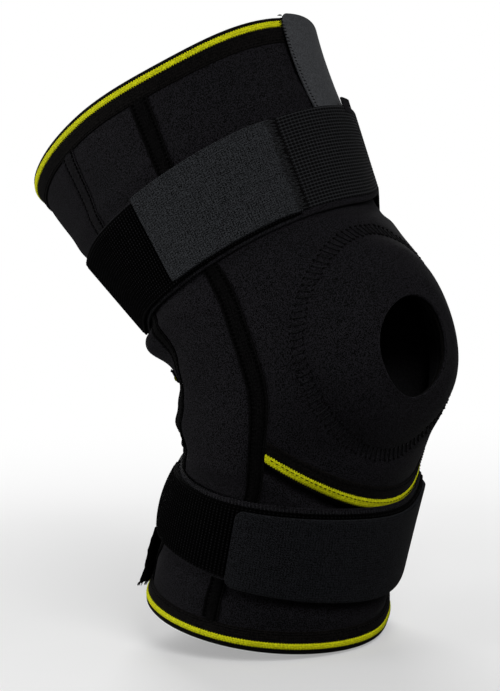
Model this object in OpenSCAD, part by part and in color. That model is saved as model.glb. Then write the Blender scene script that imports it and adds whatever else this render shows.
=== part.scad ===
// Hinged open-patella knee brace: a sewn sleeve with two hook-and-loop straps
// and a geared two-pivot hinge in a pocket on each side of the knee.
// X runs from the outer side of the knee (-X) to the inner side (+X), -Y is the
// front and +Z is up. The origin lies midway between the two knee hinges.

/* [Limb] */
// Sleeve length above the knee axis, along the limb
thigh_length = 159; // [145:1:185]
// Sleeve length below the knee axis, along the limb
calf_length = 121; // [112:1:145]
// Backward lean of the thigh at rest, degrees from upright
thigh_tilt = 35; // [22:1:40]
// Backward lean of the calf at rest, degrees from upright
calf_tilt = 20; // [12:1:26]
// Limb length on each side of the knee axis over which the sleeve bends
bend_half = 55; // [50:1:62]
// Rise of the thigh hem from front to back
thigh_hem_rise = 5; // [0:0.5:8]
// Drop of the calf hem from front to back
calf_hem_drop = 11; // [0:0.5:13]

/* [Sections] */
// Height of the mid-thigh section above the knee axis, along the limb
mid_thigh_height = 110; // [104:1:118]
// Height of the section under the thigh strap's lower edge
low_thigh_height = 70; // [64:1:76]
// Height of the section at the top of the kneecap
kneecap_top_height = 35; // [30:1:40]
// Height of the section across the kneecap
kneecap_height = 5; // [0:1:10]
// Depth of the joint line section below the knee axis
joint_line_depth = 25; // [20:1:30]
// Depth of the shin section below the knee axis
shin_depth = 60; // [54:1:66]
// Section at the thigh hem: half width, front depth, back depth
thigh_section = [73, 83, 92]; // [60:1:105]
// Section at the middle of the thigh part
mid_thigh_section = [75, 69, 80]; // [50:1:95]
// Section under the lower edge of the thigh strap
low_thigh_section = [75, 56, 64]; // [50:1:85]
// Section at the top of the kneecap
kneecap_top_section = [75, 71, 59]; // [50:1:85]
// Section across the kneecap
kneecap_section = [74, 75, 52]; // [48:1:85]
// Section at the joint line below the kneecap
joint_line_section = [72, 54, 57]; // [46:1:80]
// Section at the top of the shin
shin_section = [64, 48, 59]; // [44:1:75]
// Section at the calf hem
calf_section = [66, 62, 60]; // [50:1:80]

/* [Sleeve] */
// Thickness of the front and rear panels
panel_t = 4; // [3:0.1:5]
// Thickness of the outer skin of the hinge pockets
pocket_t = 1.8; // [1.2:0.1:2.4]
// Thickness of the pocket liners that face the leg
liner_t = 1.5; // [1:0.1:2.5]
// Width of the flat seam tapes
tape_w = 7; // [5:0.5:9]
// Thickness of the seam tapes
tape_t = 0.6; // [0.4:0.1:1]
// Depth of the edge binding, along the limb
hem_w = 11; // [8:0.5:13]
// Thickness of one layer of the edge binding
hem_t = 0.8; // [0.5:0.1:1.2]
// Width of the bright stripe woven into the binding
stripe_w = 3.3; // [2.5:0.1:5]
// Thickness of the bright stripe
stripe_t = 0.4; // [0.3:0.1:0.6]
// Gap between stacked layers of cloth
layer_gap = 0.3; // [0.2:0.05:0.4]
// Gap between panels that meet edge to edge, degrees round the limb
seam_gap = 0.6; // [0.4:0.1:1]

/* [Pockets] */
// Front seam of the side pockets at the knee, degrees round from the front
pocket_front = 67; // [64:0.5:70]
// Backward drift of the front seam towards the calf hem, degrees
pocket_front_drift = 8; // [4:0.5:10]
// Rear seam of the side pockets at the knee, degrees round from the front
pocket_rear = 120; // [116:0.5:124]
// Forward drift of the rear seam towards the thigh hem, degrees
pocket_rear_thigh_drift = 17; // [12:0.5:19]
// Backward drift of the rear seam towards the calf hem, degrees
pocket_rear_calf_drift = 19; // [12:0.5:21]
// Top edge of the window behind the knee, height above the knee axis
window_top = 13; // [10:0.5:16]
// Bottom edge of the window behind the knee, depth below the knee axis
window_bottom = 24; // [21:0.5:28]

/* [Kneecap] */
// Radius of the kneecap opening
opening_r = 25; // [20:0.5:28]
// Radius of the foam ring sewn behind the opening
buttress_r = 60; // [52:0.5:64]
// Thickness of the foam ring
buttress_t = 4; // [3:0.1:6]
// Height of the opening's centre above the knee axis, along the limb
opening_height = 8.5; // [4:0.5:12]
// Turn of the opening's centre towards the outer side, degrees
opening_turn = 2; // [0:0.5:6]
// Depth of the front panel's lower edge below the knee axis
mid_hem_depth = 48; // [45:0.5:51]
// Rise of that edge from its lowest point towards the sides
mid_hem_rise = 27; // [22:1:31]
// Turn of its lowest point towards the inner side, degrees
mid_hem_turn = 15; // [6:1:20]

/* [Straps] */
// Width of the thigh strap
upper_strap_w = 50; // [40:1:56]
// Width of the calf strap
lower_strap_w = 42; // [38:1:48]
// Thickness of the straps
strap_t = 1.8; // [1.2:0.1:2.4]
// Thickness of the loop pads sewn on the straps
pad_t = 0.8; // [0.6:0.1:1.2]
// Thickness of the hook tabs at the strap ends
tab_t = 1.6; // [1.2:0.1:2]
// Corner radius of the hook tabs
tab_corner = 3; // [2:0.5:8]
// Width of the calf strap's tab
lower_tab_w = 39; // [34:0.5:42]
// Height of the thigh strap's centre on the outer side, along the limb
upper_strap_height = 80; // [78:1:86]
// Mean depth of the calf strap's centre below the knee axis, along the limb
lower_strap_depth = 73.5; // [72:0.5:77]
// Lift of the thigh strap from the outer to the inner side
upper_strap_lift = 10; // [4:1:12]
// Lift of the calf strap towards its front outer side
lower_strap_lift = 9; // [4:1:10]
// Sewn end of the thigh strap's tab, degrees round from the front
upper_tab_root = 23; // [16:1:30]
// Free end of the thigh strap's tab, degrees round from the front
upper_tab_end = 84; // [74:1:90]
// Sewn end of the calf strap's tab, degrees round from the front
lower_tab_root = -50; // [-60:1:-30]
// Free end of the calf strap's tab, degrees round from the front
lower_tab_end = 76; // [66:1:82]

/* [Patches] */
// Thickness of the smooth patch on the front of the thigh
front_patch_t = 0.7; // [0.5:0.1:1]
// Outer edge of the front patch, degrees round from the front
front_patch_outer = 6; // [0:0.5:10]
// Inner edge of the front patch, degrees round from the front
front_patch_inner = -42; // [-48:0.5:-36]
// Thickness of the pile patch on the rear of the calf
rear_patch_t = 1.4; // [1:0.1:1.8]
// Half breadth of the pile patch, degrees round the limb
rear_patch_half = 34; // [26:1:38]
// Far end of the loop pads on both straps, degrees round from the front
pad_end = 140; // [126:1:150]

/* [Hinge] */
// Distance between the two pivots of a hinge
pivot_gap = 18; // [17:0.5:20]
// Teeth on a full turn of each arm's head
teeth = 12; // [12:1:14]
// Play between meshing teeth
backlash = 0.4; // [0.3:0.05:0.6]
// Thickness of the hinge arms
arm_t = 3; // [2.5:0.1:3.5]
// Width of the hinge arms
arm_w = 16; // [14:0.5:17]
// Length of the upper arm from its pivot
upper_arm_length = 118; // [105:1:122]
// Length of the lower arm from its pivot
lower_arm_length = 92; // [84:1:94]
// Thickness of the hinge plates
plate_t = 1.2; // [1:0.1:1.5]
// Radius of the round ends of the hinge plates
plate_r = 13; // [11.5:0.5:13.5]
// Radius of the rivets' shanks
rivet_r = 2.5; // [2:0.1:3]
// Radius of the rivets' heads
rivet_head_r = 4.5; // [4:0.1:5]
// Height of the rivets' heads
rivet_head_h = 0.9; // [0.6:0.1:1.1]
// Thickness of the washers beside the arms
washer_t = 0.4; // [0.3:0.05:0.5]
// Radius of the washers
washer_r = 6; // [5.2:0.1:6.4]
// Running clearance in the pivots
run_clear = 0.05; // [0.02:0.01:0.08]

/* [Hidden] */
$fn = 48;

// Colours
NEOPRENE = [0.13, 0.13, 0.15];
BINDING = [0.07, 0.07, 0.08];
STRIPE = [0.78, 0.82, 0.10];
STRAP = [0.10, 0.10, 0.11];
TAB = [0.22, 0.23, 0.25];
PATCH = [0.50, 0.52, 0.55];
LINER = [0.18, 0.18, 0.20];
STEEL = [0.70, 0.71, 0.73];
ALLOY = [0.62, 0.63, 0.66];
NYLON = [0.92, 0.92, 0.88];

// Heights of the sections along the limb, from the calf hem to the thigh hem
STATIONS = [
    [-calf_length, calf_section],
    [-shin_depth, shin_section],
    [-joint_line_depth, joint_line_section],
    [kneecap_height, kneecap_section],
    [kneecap_top_height, kneecap_top_section],
    [low_thigh_height, low_thigh_section],
    [mid_thigh_height, mid_thigh_section],
    [thigh_length, thigh_section]
];
last_station = len(STATIONS) - 1;

// Where the cloth of the knee meets that of the thigh and the calf, under the straps
joint_drop = 10;
thigh_joint = upper_strap_height - joint_drop;
calf_joint = -lower_strap_depth;

// Curve of the limb's centre line and the lean of the hinge between thigh and calf
bend_r = 2 * bend_half * 180 / (PI * (thigh_tilt + calf_tilt));
hinge_lean = (thigh_tilt - calf_tilt) / 2;
half_flex = (thigh_tilt + calf_tilt) / 2;

// Front of the knee: stretch of the cloth over the bend, and its radius round the limb
front_stretch = 1 + kneecap_section[1] / bend_r;
front_r = (kneecap_section[0] + kneecap_section[1]) / 2;

// Layers, as heights above the sleeve's outer face
tape_hi = layer_gap + tape_t;
hem_hi = layer_gap + hem_t;
stripe_lo = hem_hi + layer_gap;
stripe_hi = stripe_lo + stripe_t;
stripe_inset = 1.5;
upper_band_lo = layer_gap + max(tape_hi, layer_gap + front_patch_t);
upper_pad_lo = upper_band_lo + strap_t + layer_gap;
upper_tab_lo = upper_pad_lo + pad_t + layer_gap;
lower_band_lo = stripe_hi + layer_gap;
lower_pad_lo = lower_band_lo + strap_t + layer_gap;
lower_tab_lo = lower_pad_lo + pad_t + layer_gap;
pad_inset = 2;

// Turn at which the calf strap sits highest
lower_strap_turn = 55;

// Stack of a hinge, measured from the arms' middle plane
washer_room = washer_t + 2 * run_clear;
plate_in = arm_t / 2 + washer_room;
plate_out = plate_in + plate_t;
rivet_end = plate_out + run_clear + rivet_head_h;
skin_room = 2.7;
hinge_inset = pocket_t + skin_room + rivet_end;
hinge_x = kneecap_section[0] - hinge_inset;
liner_room = 0.5;
liner_overlap = 4;
liner_ease = 25;
hinge_depth = hinge_inset + rivet_end + liner_room;

// Arms: their place under the pocket's skin, beyond the hinge
arm_room = 3.6;
arm_inset = pocket_t + arm_room + arm_t / 2;
contour_room = 2.2;
arm_depth = arm_inset + arm_t / 2 + contour_room;
upper_jog = mid_thigh_section[0] - arm_inset - hinge_x;
lower_jog = shin_section[0] - arm_inset - hinge_x;
jog_start = plate_r + 1;
jog_length = 32;

// Teeth: a pitch circle that touches its neighbour's halfway between the pivots
pitch_r = pivot_gap / 2;
tooth_module = pivot_gap / teeth;
tip_r = pitch_r + 0.8 * tooth_module;
root_r = pitch_r - 1.1 * tooth_module;
pressure = 20;
base_r = pitch_r * cos(pressure);

function lerp(a, b, t) = a + (b - a) * t;
function clamp(x, lo, hi) = min(max(x, lo), hi);
function ease(t) = let (c = clamp(t, 0, 1)) c * c * (3 - 2 * c);

// Change of the section per unit of height at one station
function slope(i) =
    let (a = STATIONS[max(i - 1, 0)], b = STATIONS[min(i + 1, last_station)])
    (b[1] - a[1]) / (b[0] - a[0]);
function span_at(s) = max([0, for (i = [0 : last_station - 1]) if (s >= STATIONS[i][0]) i]);

// Section at height s: half width, front depth and back depth, a smooth curve through the stations
function section(s) =
    let (
        i = span_at(s),
        a = STATIONS[i],
        b = STATIONS[i + 1],
        h = b[0] - a[0],
        raw = (s - a[0]) / h,
        t = clamp(raw, 0, 1),
        start = (1 + 2 * t) * (1 - t) * (1 - t) * a[1] + t * (1 - t) * (1 - t) * h * slope(i),
        finish = t * t * (3 - 2 * t) * b[1] + t * t * (t - 1) * h * slope(i + 1)
    )
    start + finish + (raw - t) * h * slope(raw < 0 ? i : i + 1);

// Lean of the limb at height s, and the point of its centre line there
function lean(s) =
    -calf_tilt + (thigh_tilt + calf_tilt) * clamp((s + bend_half) / (2 * bend_half), 0, 1);
function axis_point(s) =
    let (b = clamp(s, -bend_half, bend_half), a = lean(b))
    [
        0,
        bend_r * (cos(hinge_lean) - cos(a)) + (s - b) * sin(a),
        bend_r * (sin(a) - sin(hinge_lean)) + (s - b) * cos(a)
    ];

// Point of the sleeve at height s and turn phi (0 front, 90 outer side), off outside its outer face
function skin(s, phi, off) =
    let (
        c = axis_point(s),
        q = section(s),
        a = lean(s),
        forward = ((cos(phi) > 0 ? q[1] : q[2]) + off) * cos(phi)
    )
    [-(q[0] + off) * sin(phi), c[1] - forward * cos(a), c[2] + forward * sin(a)];
function degrees_for(mm, s) = mm / section(s)[0] * 180 / PI;

// Seams at the front and the rear of the outer side pocket, as turns round the limb
function front_seam(s) = pocket_front + (s > 0 ? 0 : pocket_front_drift * pow(s / calf_length, 2));
function rear_seam(s) =
    pocket_rear
    - (s > 0 ? pocket_rear_thigh_drift * s / thigh_length : pocket_rear_calf_drift * s / calf_length);

// Edges of the sleeve and the centre lines of the straps, as heights round the limb
function thigh_edge(phi) = thigh_length - thigh_hem_rise * cos(phi);
function calf_edge(phi) = -calf_length + calf_hem_drop * cos(phi);
function mid_edge(phi) = -mid_hem_depth + mid_hem_rise * (1 - cos(phi + mid_hem_turn));
function upper_strap(phi) = upper_strap_height + upper_strap_lift * (1 - sin(phi)) / 2;
function lower_strap(phi) = -lower_strap_depth + lower_strap_lift * cos(phi - lower_strap_turn);

// A strap runs straight from its one edge to the other across the curve of the limb
function strap_skin(centre, width, s, phi, off) =
    let (c = centre(phi))
    lerp(skin(c - width / 2, phi, off), skin(c + width / 2, phi, off), (s - c) / width + 0.5);
limb_skin = function (s, phi, off) skin(s, phi, off);
upper_strap_line = function (phi) upper_strap(phi);
lower_strap_line = function (phi) lower_strap(phi);
upper_strap_skin = function (s, phi, off) strap_skin(upper_strap_line, upper_strap_w, s, phi, off);
lower_strap_skin = function (s, phi, off) strap_skin(lower_strap_line, lower_strap_w, s, phi, off);

// Point at radius r and clock angle t round the middle of the kneecap opening
function kneecap(r, t, off) =
    skin(
        opening_height + r * cos(t) / front_stretch,
        opening_turn + r * sin(t) / front_r * 180 / PI,
        off
    );

// Two triangles over the four corners of a mesh cell
function cell(a, b, c, d) = [[a, b, c], [a, c, d]];
function cells(list) = [for (quad = list) for (tri = cell(quad[0], quad[1], quad[2], quad[3])) tri];

// Piece of cloth between turns edge_a(s) and edge_b(s) and heights low(phi) and high(phi);
// under and over give its faces as heights above the surface base, at (u across, s)
module cloth(edge_a, edge_b, low, high, under, over, nu, nv, base = limb_skin) {
    middle_phi = (edge_a(0) + edge_b(0)) / 2;
    middle_s = (low(middle_phi) + high(middle_phi)) / 2;
    function turn(u, s) = lerp(edge_a(s), edge_b(s), u);
    function height(u, v) =
        let (
            guess = turn(u, middle_s),
            phi = turn(u, lerp(low(guess), high(guess), v)),
            near = turn(u, lerp(low(phi), high(phi), v))
        )
        lerp(low(near), high(near), v);
    function point(u, v, face) =
        let (s = height(u, v))
        base(s, turn(u, s), face(u, s));
    row = nu + 1;
    sheet = row * (nv + 1);
    points = [
        for (face = [over, under]) for (j = [0 : nv]) for (i = [0 : nu]) point(i / nu, j / nv, face)
    ];
    faces = cells(concat(
        [for (j = [0 : nv - 1]) for (i = [0 : nu - 1]) let (k = j * row + i)
            [k, k + 1, k + row + 1, k + row]],
        [for (j = [0 : nv - 1]) for (i = [0 : nu - 1]) let (k = sheet + j * row + i)
            [k, k + row, k + row + 1, k + 1]],
        [for (i = [0 : nu - 1]) [i + 1, i, sheet + i, sheet + i + 1]],
        [for (i = [0 : nu - 1]) let (k = nv * row + i) [k, k + 1, sheet + k + 1, sheet + k]],
        [for (j = [0 : nv - 1]) let (k = j * row) [k, k + row, sheet + k + row, sheet + k]],
        [for (j = [0 : nv - 1]) let (k = j * row + nu) [k + row, k, sheet + k, sheet + k + row]]
    ));
    polyhedron(points = points, faces = faces, convexity = 8);
}

// Ring swept once round: profile(i, corner) gives the points of ring step i
module hoop(steps, corners, place) {
    points = [for (i = [0 : steps - 1]) for (c = [0 : corners - 1]) place(360 * i / steps, c)];
    faces = cells([
        for (i = [0 : steps - 1]) for (c = [0 : corners - 1])
            let (n = (i + 1) % steps, e = (c + 1) % corners)
            [i * corners + c, n * corners + c, n * corners + e, i * corners + e]
    ]);
    polyhedron(points = points, faces = faces, convexity = 8);
}

// Band round the limb: outline holds [height from base(phi), height above the sleeve]
module limb_hoop(outline, base, steps = 48) {
    last = len(outline) - 1;
    hoop(
        steps, len(outline),
        function (phi, c) skin(base(phi) + outline[last - c][0], phi, outline[last - c][1])
    );
}

// Ring round the kneecap opening: outline holds [radius, height above the sleeve]
module kneecap_hoop(outline, steps = 32) {
    hoop(steps, len(outline), function (t, c) kneecap(outline[c][0], t, outline[c][1]));
}

// Cloth folded over an edge: outline of a U that grips a sheet of thickness panel_t,
// up is +1 where the edge faces up the limb and -1 where it faces down
function fold_outline(up) =
    let (inside = -panel_t - layer_gap, points = [
        [-hem_w, layer_gap], [0, layer_gap], [0, inside], [-hem_w, inside],
        [-hem_w, inside - hem_t], [hem_t, inside - hem_t], [hem_t, hem_hi], [-hem_w, hem_hi]
    ])
    [for (i = [0 : 7]) let (p = points[up > 0 ? i : 7 - i]) [p[0] * up, p[1]]];

// Flat band outline from height a to height b, between two layers
function band_outline(a, b, under, over) = [[a, under], [b, under], [b, over], [a, over]];

// Half width of a tab that ends in round corners, x from its free end
function tab_half(width, x) =
    width / 2 - (x < tab_corner ? tab_corner - sqrt(tab_corner^2 - (tab_corner - x)^2) : 0);

// The inner side of the brace mirrors the outer side
module medial() mirror([1, 0, 0]) children();

// Neoprene panels and pockets
module front_cloth(low, high, under, over, nv, nu = 16) {
    cloth(
        function (s) -front_seam(s) + seam_gap, function (s) front_seam(s) - seam_gap,
        low, high, under, over, nu, nv
    );
}

module rear_cloth(low, high, under, over, nv, nu = 14) {
    cloth(
        function (s) rear_seam(s) + seam_gap, function (s) 360 - rear_seam(s) - seam_gap,
        low, high, under, over, nu, nv
    );
}

module side_pocket(low, high, nv) {
    cloth(
        function (s) front_seam(s) + seam_gap, function (s) rear_seam(s) - seam_gap,
        low, high, function (u, s) -pocket_t, function (u, s) 0, 6, nv
    );
}

// Liner between the leg and the hinge: sewn to the panels at its edges, deep in the middle
module side_liner(low, high, nv) {
    edge = -panel_t - 2 * layer_gap;
    function deep(s) = lerp(arm_depth, hinge_depth, ease((bend_half - abs(s)) / liner_ease));
    function outer_face(u, s) = edge - (deep(s) + edge) * (1 - pow(2 * u - 1, 4));
    cloth(
        function (s) front_seam(s) - liner_overlap, function (s) rear_seam(s) + liner_overlap,
        low, high, function (u, s) outer_face(u, s) - liner_t, function (u, s) outer_face(u, s), 6, nv
    );
}

// Tape over one seam; turn(s) is the seam's turn round the limb
module seam_tape(turn, low, high, nv) {
    cloth(
        function (s) turn(s) - degrees_for(tape_w / 2, s), function (s) turn(s) + degrees_for(tape_w / 2, s),
        low, high, function (u, s) layer_gap, function (u, s) tape_hi, 1, nv
    );
}

module seam_tapes(low, high, nv) {
    for (turn = [function (s) front_seam(s), function (s) rear_seam(s)]) {
        seam_tape(turn, low, high, nv);
        medial() seam_tape(turn, low, high, nv);
    }
}

// Heights at which the cloth of each zone starts and ends
half_gap = layer_gap / 2;
thigh_low = function (phi) thigh_joint + half_gap;
thigh_high = function (phi) thigh_edge(phi) - layer_gap;
thigh_tape_high = function (phi) thigh_edge(phi) - hem_w - layer_gap;
knee_low = function (phi) calf_joint + half_gap;
knee_high = function (phi) thigh_joint - half_gap;
calf_low = function (phi) calf_edge(phi) + layer_gap;
calf_tape_low = function (phi) calf_edge(phi) + hem_w + layer_gap;
calf_high = function (phi) calf_joint - half_gap;
outer_zero = function (u, s) 0;
panel_inside = function (u, s) -panel_t;

module thigh_front_panel() color(NEOPRENE) front_cloth(thigh_low, thigh_high, panel_inside, outer_zero, 8);

module thigh_rear_panel() color(NEOPRENE) rear_cloth(thigh_low, thigh_high, panel_inside, outer_zero, 8, 18);

module thigh_lateral_pocket() color(NEOPRENE) side_pocket(thigh_low, thigh_high, 8);

module thigh_medial_pocket() color(NEOPRENE) medial() side_pocket(thigh_low, thigh_high, 8);

module thigh_lateral_liner() color(LINER) side_liner(thigh_low, liner_top, 6);

module thigh_medial_liner() color(LINER) medial() side_liner(thigh_low, liner_top, 6);
liner_top = function (phi) thigh_edge(phi) - hem_w - layer_gap;

module thigh_hem() color(BINDING) limb_hoop(fold_outline(1), function (phi) thigh_edge(phi));

module thigh_hem_stripe() {
    top = hem_t - stripe_inset;
    color(STRIPE)
        limb_hoop(
            band_outline(top - stripe_w, top, stripe_lo, stripe_hi),
            function (phi) thigh_edge(phi)
        );
}

module thigh_seam_tapes() color(BINDING) seam_tapes(thigh_low, thigh_tape_high, 6);

// Smooth patch at the front of the thigh, from over the hem down under the strap
module front_patch() {
    climb = 7;
    over_hem = stripe_hi + layer_gap;
    hem_foot = thigh_edge(front_patch_inner) - thigh_hem_rise - hem_w;
    function under(s) = lerp(layer_gap, over_hem, ease((s - hem_foot) / climb + 1));
    color(PATCH)
        cloth(
            function (s) front_patch_inner, function (s) front_patch_outer,
            function (phi) thigh_joint + climb, function (phi) thigh_edge(phi) + hem_t,
            function (u, s) under(s), function (u, s) under(s) + front_patch_t, 8, 12
        );
}

module upper_strap_band() {
    color(STRAP)
        limb_hoop(
            band_outline(-upper_strap_w / 2, upper_strap_w / 2, upper_band_lo, upper_band_lo + strap_t),
            upper_strap_line
        );
}

// Turn from a tab's sewn end to the start of the loop pad under it
pad_start = 1;

// Loop pad that the thigh strap's tab grips, on the outer rear of the strap
module upper_strap_pad() {
    half = upper_strap_w / 2 - pad_inset;
    color(BINDING)
        cloth(
            function (s) upper_tab_root + pad_start, function (s) pad_end,
            function (phi) upper_strap(phi) - half, function (phi) upper_strap(phi) + half,
            function (u, s) upper_pad_lo, function (u, s) upper_pad_lo + pad_t, 14, 1, upper_strap_skin
        );
}

// Strap tab that narrows into round corners at its free end, end_phi
module strap_tab(root_phi, end_phi, centre, width, under, nu, base) {
    turn = end_phi > root_phi ? 1 : -1;
    function half(phi) =
        tab_half(width, max(0, (end_phi - phi) * turn) * PI / 180 * section(centre(phi))[0]);
    cloth(
        function (s) root_phi, function (s) end_phi,
        function (phi) centre(phi) - half(phi), function (phi) centre(phi) + half(phi),
        function (u, s) under, function (u, s) under + tab_t, nu, 1, base
    );
}

module upper_strap_tab() {
    color(TAB)
        strap_tab(
            upper_tab_root, upper_tab_end, upper_strap_line, upper_strap_w,
            upper_tab_lo, 32, upper_strap_skin
        );
}

// Panel round the kneecap: opening in the middle, seams at the sides, binding along its lower edge
module knee_front_panel() {
    side_cells = 6;
    top_cells = 16;
    rings = 6;
    function side(s) = front_seam(s) - seam_gap;
    function top_s() = thigh_joint - half_gap;
    function low_s(phi) = mid_edge(phi) + layer_gap;
    turn_top = side(top_s());
    turn_low = side(0);
    rim = concat(
        [for (i = [0 : top_cells - 1]) [lerp(-turn_top, turn_top, i / top_cells), top_s()]],
        [for (i = [0 : side_cells - 1])
            let (s = lerp(top_s(), low_s(turn_low), i / side_cells)) [side(s), s]],
        [for (i = [0 : top_cells - 1])
            let (phi = lerp(turn_low, -turn_low, i / top_cells)) [phi, low_s(phi)]],
        [for (i = [0 : side_cells - 1])
            let (s = lerp(low_s(-turn_low), top_s(), i / side_cells)) [-side(s), s]]
    );
    steps = len(rim);
    function clock(p) =
        atan2((p[0] - opening_turn) * front_r * PI / 180, (p[1] - opening_height) * front_stretch);
    function hole(t) = [
        opening_turn + opening_r * sin(t) / front_r * 180 / PI,
        opening_height + opening_r * cos(t) / front_stretch
    ];
    function spot(i, k) = lerp(hole(clock(rim[i])), rim[i], k / rings);
    sheet = steps * (rings + 1);
    points = [
        for (off = [0, -panel_t]) for (k = [0 : rings]) for (i = [0 : steps - 1])
            let (p = spot(i, k)) skin(p[1], p[0], off)
    ];
    faces = cells(concat(
        [for (k = [0 : rings - 1]) for (i = [0 : steps - 1])
            let (n = (i + 1) % steps, a = k * steps, b = a + steps) [a + n, b + n, b + i, a + i]],
        [for (k = [0 : rings - 1]) for (i = [0 : steps - 1])
            let (n = (i + 1) % steps, a = sheet + k * steps, b = a + steps) [b + i, b + n, a + n, a + i]],
        [for (i = [0 : steps - 1]) let (n = (i + 1) % steps) [sheet + i, sheet + n, n, i]],
        [for (i = [0 : steps - 1])
            let (n = (i + 1) % steps, a = rings * steps) [sheet + a + n, sheet + a + i, a + i, a + n]]
    ));
    color(NEOPRENE) polyhedron(points = points, faces = faces, convexity = 8);
}

// Foam ring behind the kneecap panel that keeps the kneecap in the opening
module kneecap_buttress() {
    face = -panel_t - 2 * layer_gap;
    rim = 4;
    bevel = 2;
    inner_r = opening_r + rim;
    middle_r = (inner_r + buttress_r) / 2;
    color(LINER)
        kneecap_hoop([
            [inner_r, face], [middle_r, face], [buttress_r, face], [buttress_r - bevel, face - buttress_t / 2],
            [middle_r, face - buttress_t], [inner_r + bevel, face - buttress_t]
        ]);
}

// Facing turned in round the opening
module kneecap_binding() {
    leaf = 3;
    under = -panel_t - layer_gap;
    edge_r = opening_r - layer_gap;
    color(BINDING)
        kneecap_hoop([
            [edge_r - hem_t, 0], [edge_r, 0], [edge_r, under],
            [edge_r + leaf, under], [edge_r + leaf, under - hem_t], [edge_r - hem_t, under - hem_t]
        ]);
}

module knee_lateral_pocket() color(NEOPRENE) side_pocket(knee_low, knee_high, 12);

module knee_medial_pocket() color(NEOPRENE) medial() side_pocket(knee_low, knee_high, 12);

module knee_lateral_liner() color(LINER) side_liner(knee_low, knee_high, 12);

module knee_medial_liner() color(LINER) medial() side_liner(knee_low, knee_high, 12);

module knee_seam_tapes() color(BINDING) seam_tapes(knee_low, knee_high, 12);

// Binding along part of a panel's edge, from turn a to turn b
module edge_binding(a, b, edge, up, nu) {
    outline = fold_outline(up);
    corners = len(outline);
    function place(i, c) =
        let (phi = lerp(a, b, i / nu)) skin(edge(phi) + outline[c][0], phi, outline[c][1]);
    points = [for (i = [0 : nu]) for (c = [0 : corners - 1]) place(i, c)];
    sides = cells([
        for (i = [0 : nu - 1]) for (c = [0 : corners - 1])
            let (e = (c + 1) % corners, k = i * corners, n = k + corners) [k + e, n + e, n + c, k + c]
    ]);
    ends = cells(concat(
        [[7, 6, 1, 0], [6, 5, 2, 1], [5, 4, 3, 2]],
        [for (q = [[0, 1, 6, 7], [1, 2, 5, 6], [2, 3, 4, 5]]) [for (k = q) k + nu * corners]]
    ));
    polyhedron(points = points, faces = concat(sides, ends), convexity = 8);
}

// Stripe woven into a binding, set in from the edge
module edge_stripe(a, b, edge, up, nu) {
    inset = (stripe_inset - hem_t) * up;
    cloth(
        function (s) a, function (s) b,
        function (phi) edge(phi) - inset - (up > 0 ? stripe_w : 0),
        function (phi) edge(phi) - inset + (up > 0 ? 0 : stripe_w),
        function (u, s) stripe_lo, function (u, s) stripe_hi, nu, 1
    );
}

mid_turn = pocket_front - liner_overlap - seam_gap;
mid_line = function (phi) mid_edge(phi);

module mid_hem() color(BINDING) edge_binding(-mid_turn, mid_turn, mid_line, -1, 16);

module mid_hem_stripe() color(STRIPE) edge_stripe(-mid_turn, mid_turn, mid_line, -1, 16);

// Rear of the knee: two panels leave a window behind the joint
rear_turn = rear_seam(-window_bottom - hem_w) + liner_overlap + 2 * seam_gap;
upper_window = function (phi) window_top;
lower_window = function (phi) -window_bottom;

module rear_upper_panel() {
    color(NEOPRENE)
        rear_cloth(function (phi) window_top + layer_gap, knee_high, panel_inside, outer_zero, 5);
}

module rear_lower_panel() {
    color(NEOPRENE)
        rear_cloth(knee_low, function (phi) -window_bottom - layer_gap, panel_inside, outer_zero, 5);
}

module rear_upper_hem() color(BINDING) edge_binding(rear_turn, 360 - rear_turn, upper_window, -1, 12);

module rear_lower_hem() color(BINDING) edge_binding(rear_turn, 360 - rear_turn, lower_window, 1, 12);

module rear_hem_stripes() {
    color(STRIPE) edge_stripe(rear_turn, 360 - rear_turn, upper_window, -1, 12);
    color(STRIPE) edge_stripe(rear_turn, 360 - rear_turn, lower_window, 1, 12);
}

// Calf part of the sleeve; its front panel starts under the kneecap panel's binding
calf_front_high = function (phi) mid_edge(phi) - hem_t - layer_gap;

module calf_front_panel() color(NEOPRENE) front_cloth(calf_low, calf_front_high, panel_inside, outer_zero, 8);

module calf_rear_panel() color(NEOPRENE) rear_cloth(calf_low, calf_high, panel_inside, outer_zero, 6);

module calf_lateral_pocket() color(NEOPRENE) side_pocket(calf_low, calf_high, 6);

module calf_medial_pocket() color(NEOPRENE) medial() side_pocket(calf_low, calf_high, 6);

module calf_lateral_liner() color(LINER) side_liner(liner_bottom, calf_high, 5);

module calf_medial_liner() color(LINER) medial() side_liner(liner_bottom, calf_high, 5);
liner_bottom = function (phi) calf_edge(phi) + hem_w + layer_gap;

module calf_hem() color(BINDING) limb_hoop(fold_outline(-1), function (phi) calf_edge(phi));

module calf_hem_stripe() {
    low = stripe_inset - hem_t;
    color(STRIPE)
        limb_hoop(
            band_outline(low, low + stripe_w, stripe_lo, stripe_hi),
            function (phi) calf_edge(phi)
        );
}

module calf_seam_tapes() color(BINDING) seam_tapes(calf_tape_low, calf_high, 5);

module lower_strap_band() {
    color(STRAP)
        limb_hoop(
            band_outline(-lower_strap_w / 2, lower_strap_w / 2, lower_band_lo, lower_band_lo + strap_t),
            lower_strap_line
        );
}

module lower_strap_pad() {
    half = lower_strap_w / 2 - pad_inset;
    color(BINDING)
        cloth(
            function (s) lower_tab_root + pad_start, function (s) pad_end,
            function (phi) lower_strap(phi) - half, function (phi) lower_strap(phi) + half,
            function (u, s) lower_pad_lo, function (u, s) lower_pad_lo + pad_t, 22, 1, lower_strap_skin
        );
}

// The calf tab sits a little low on its strap
lower_tab_drop = 2.5;

module lower_strap_tab() {
    color(TAB)
        strap_tab(
            lower_tab_root, lower_tab_end, function (phi) lower_strap(phi) - lower_tab_drop,
            lower_tab_w, lower_tab_lo, 48, lower_strap_skin
        );
}

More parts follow.
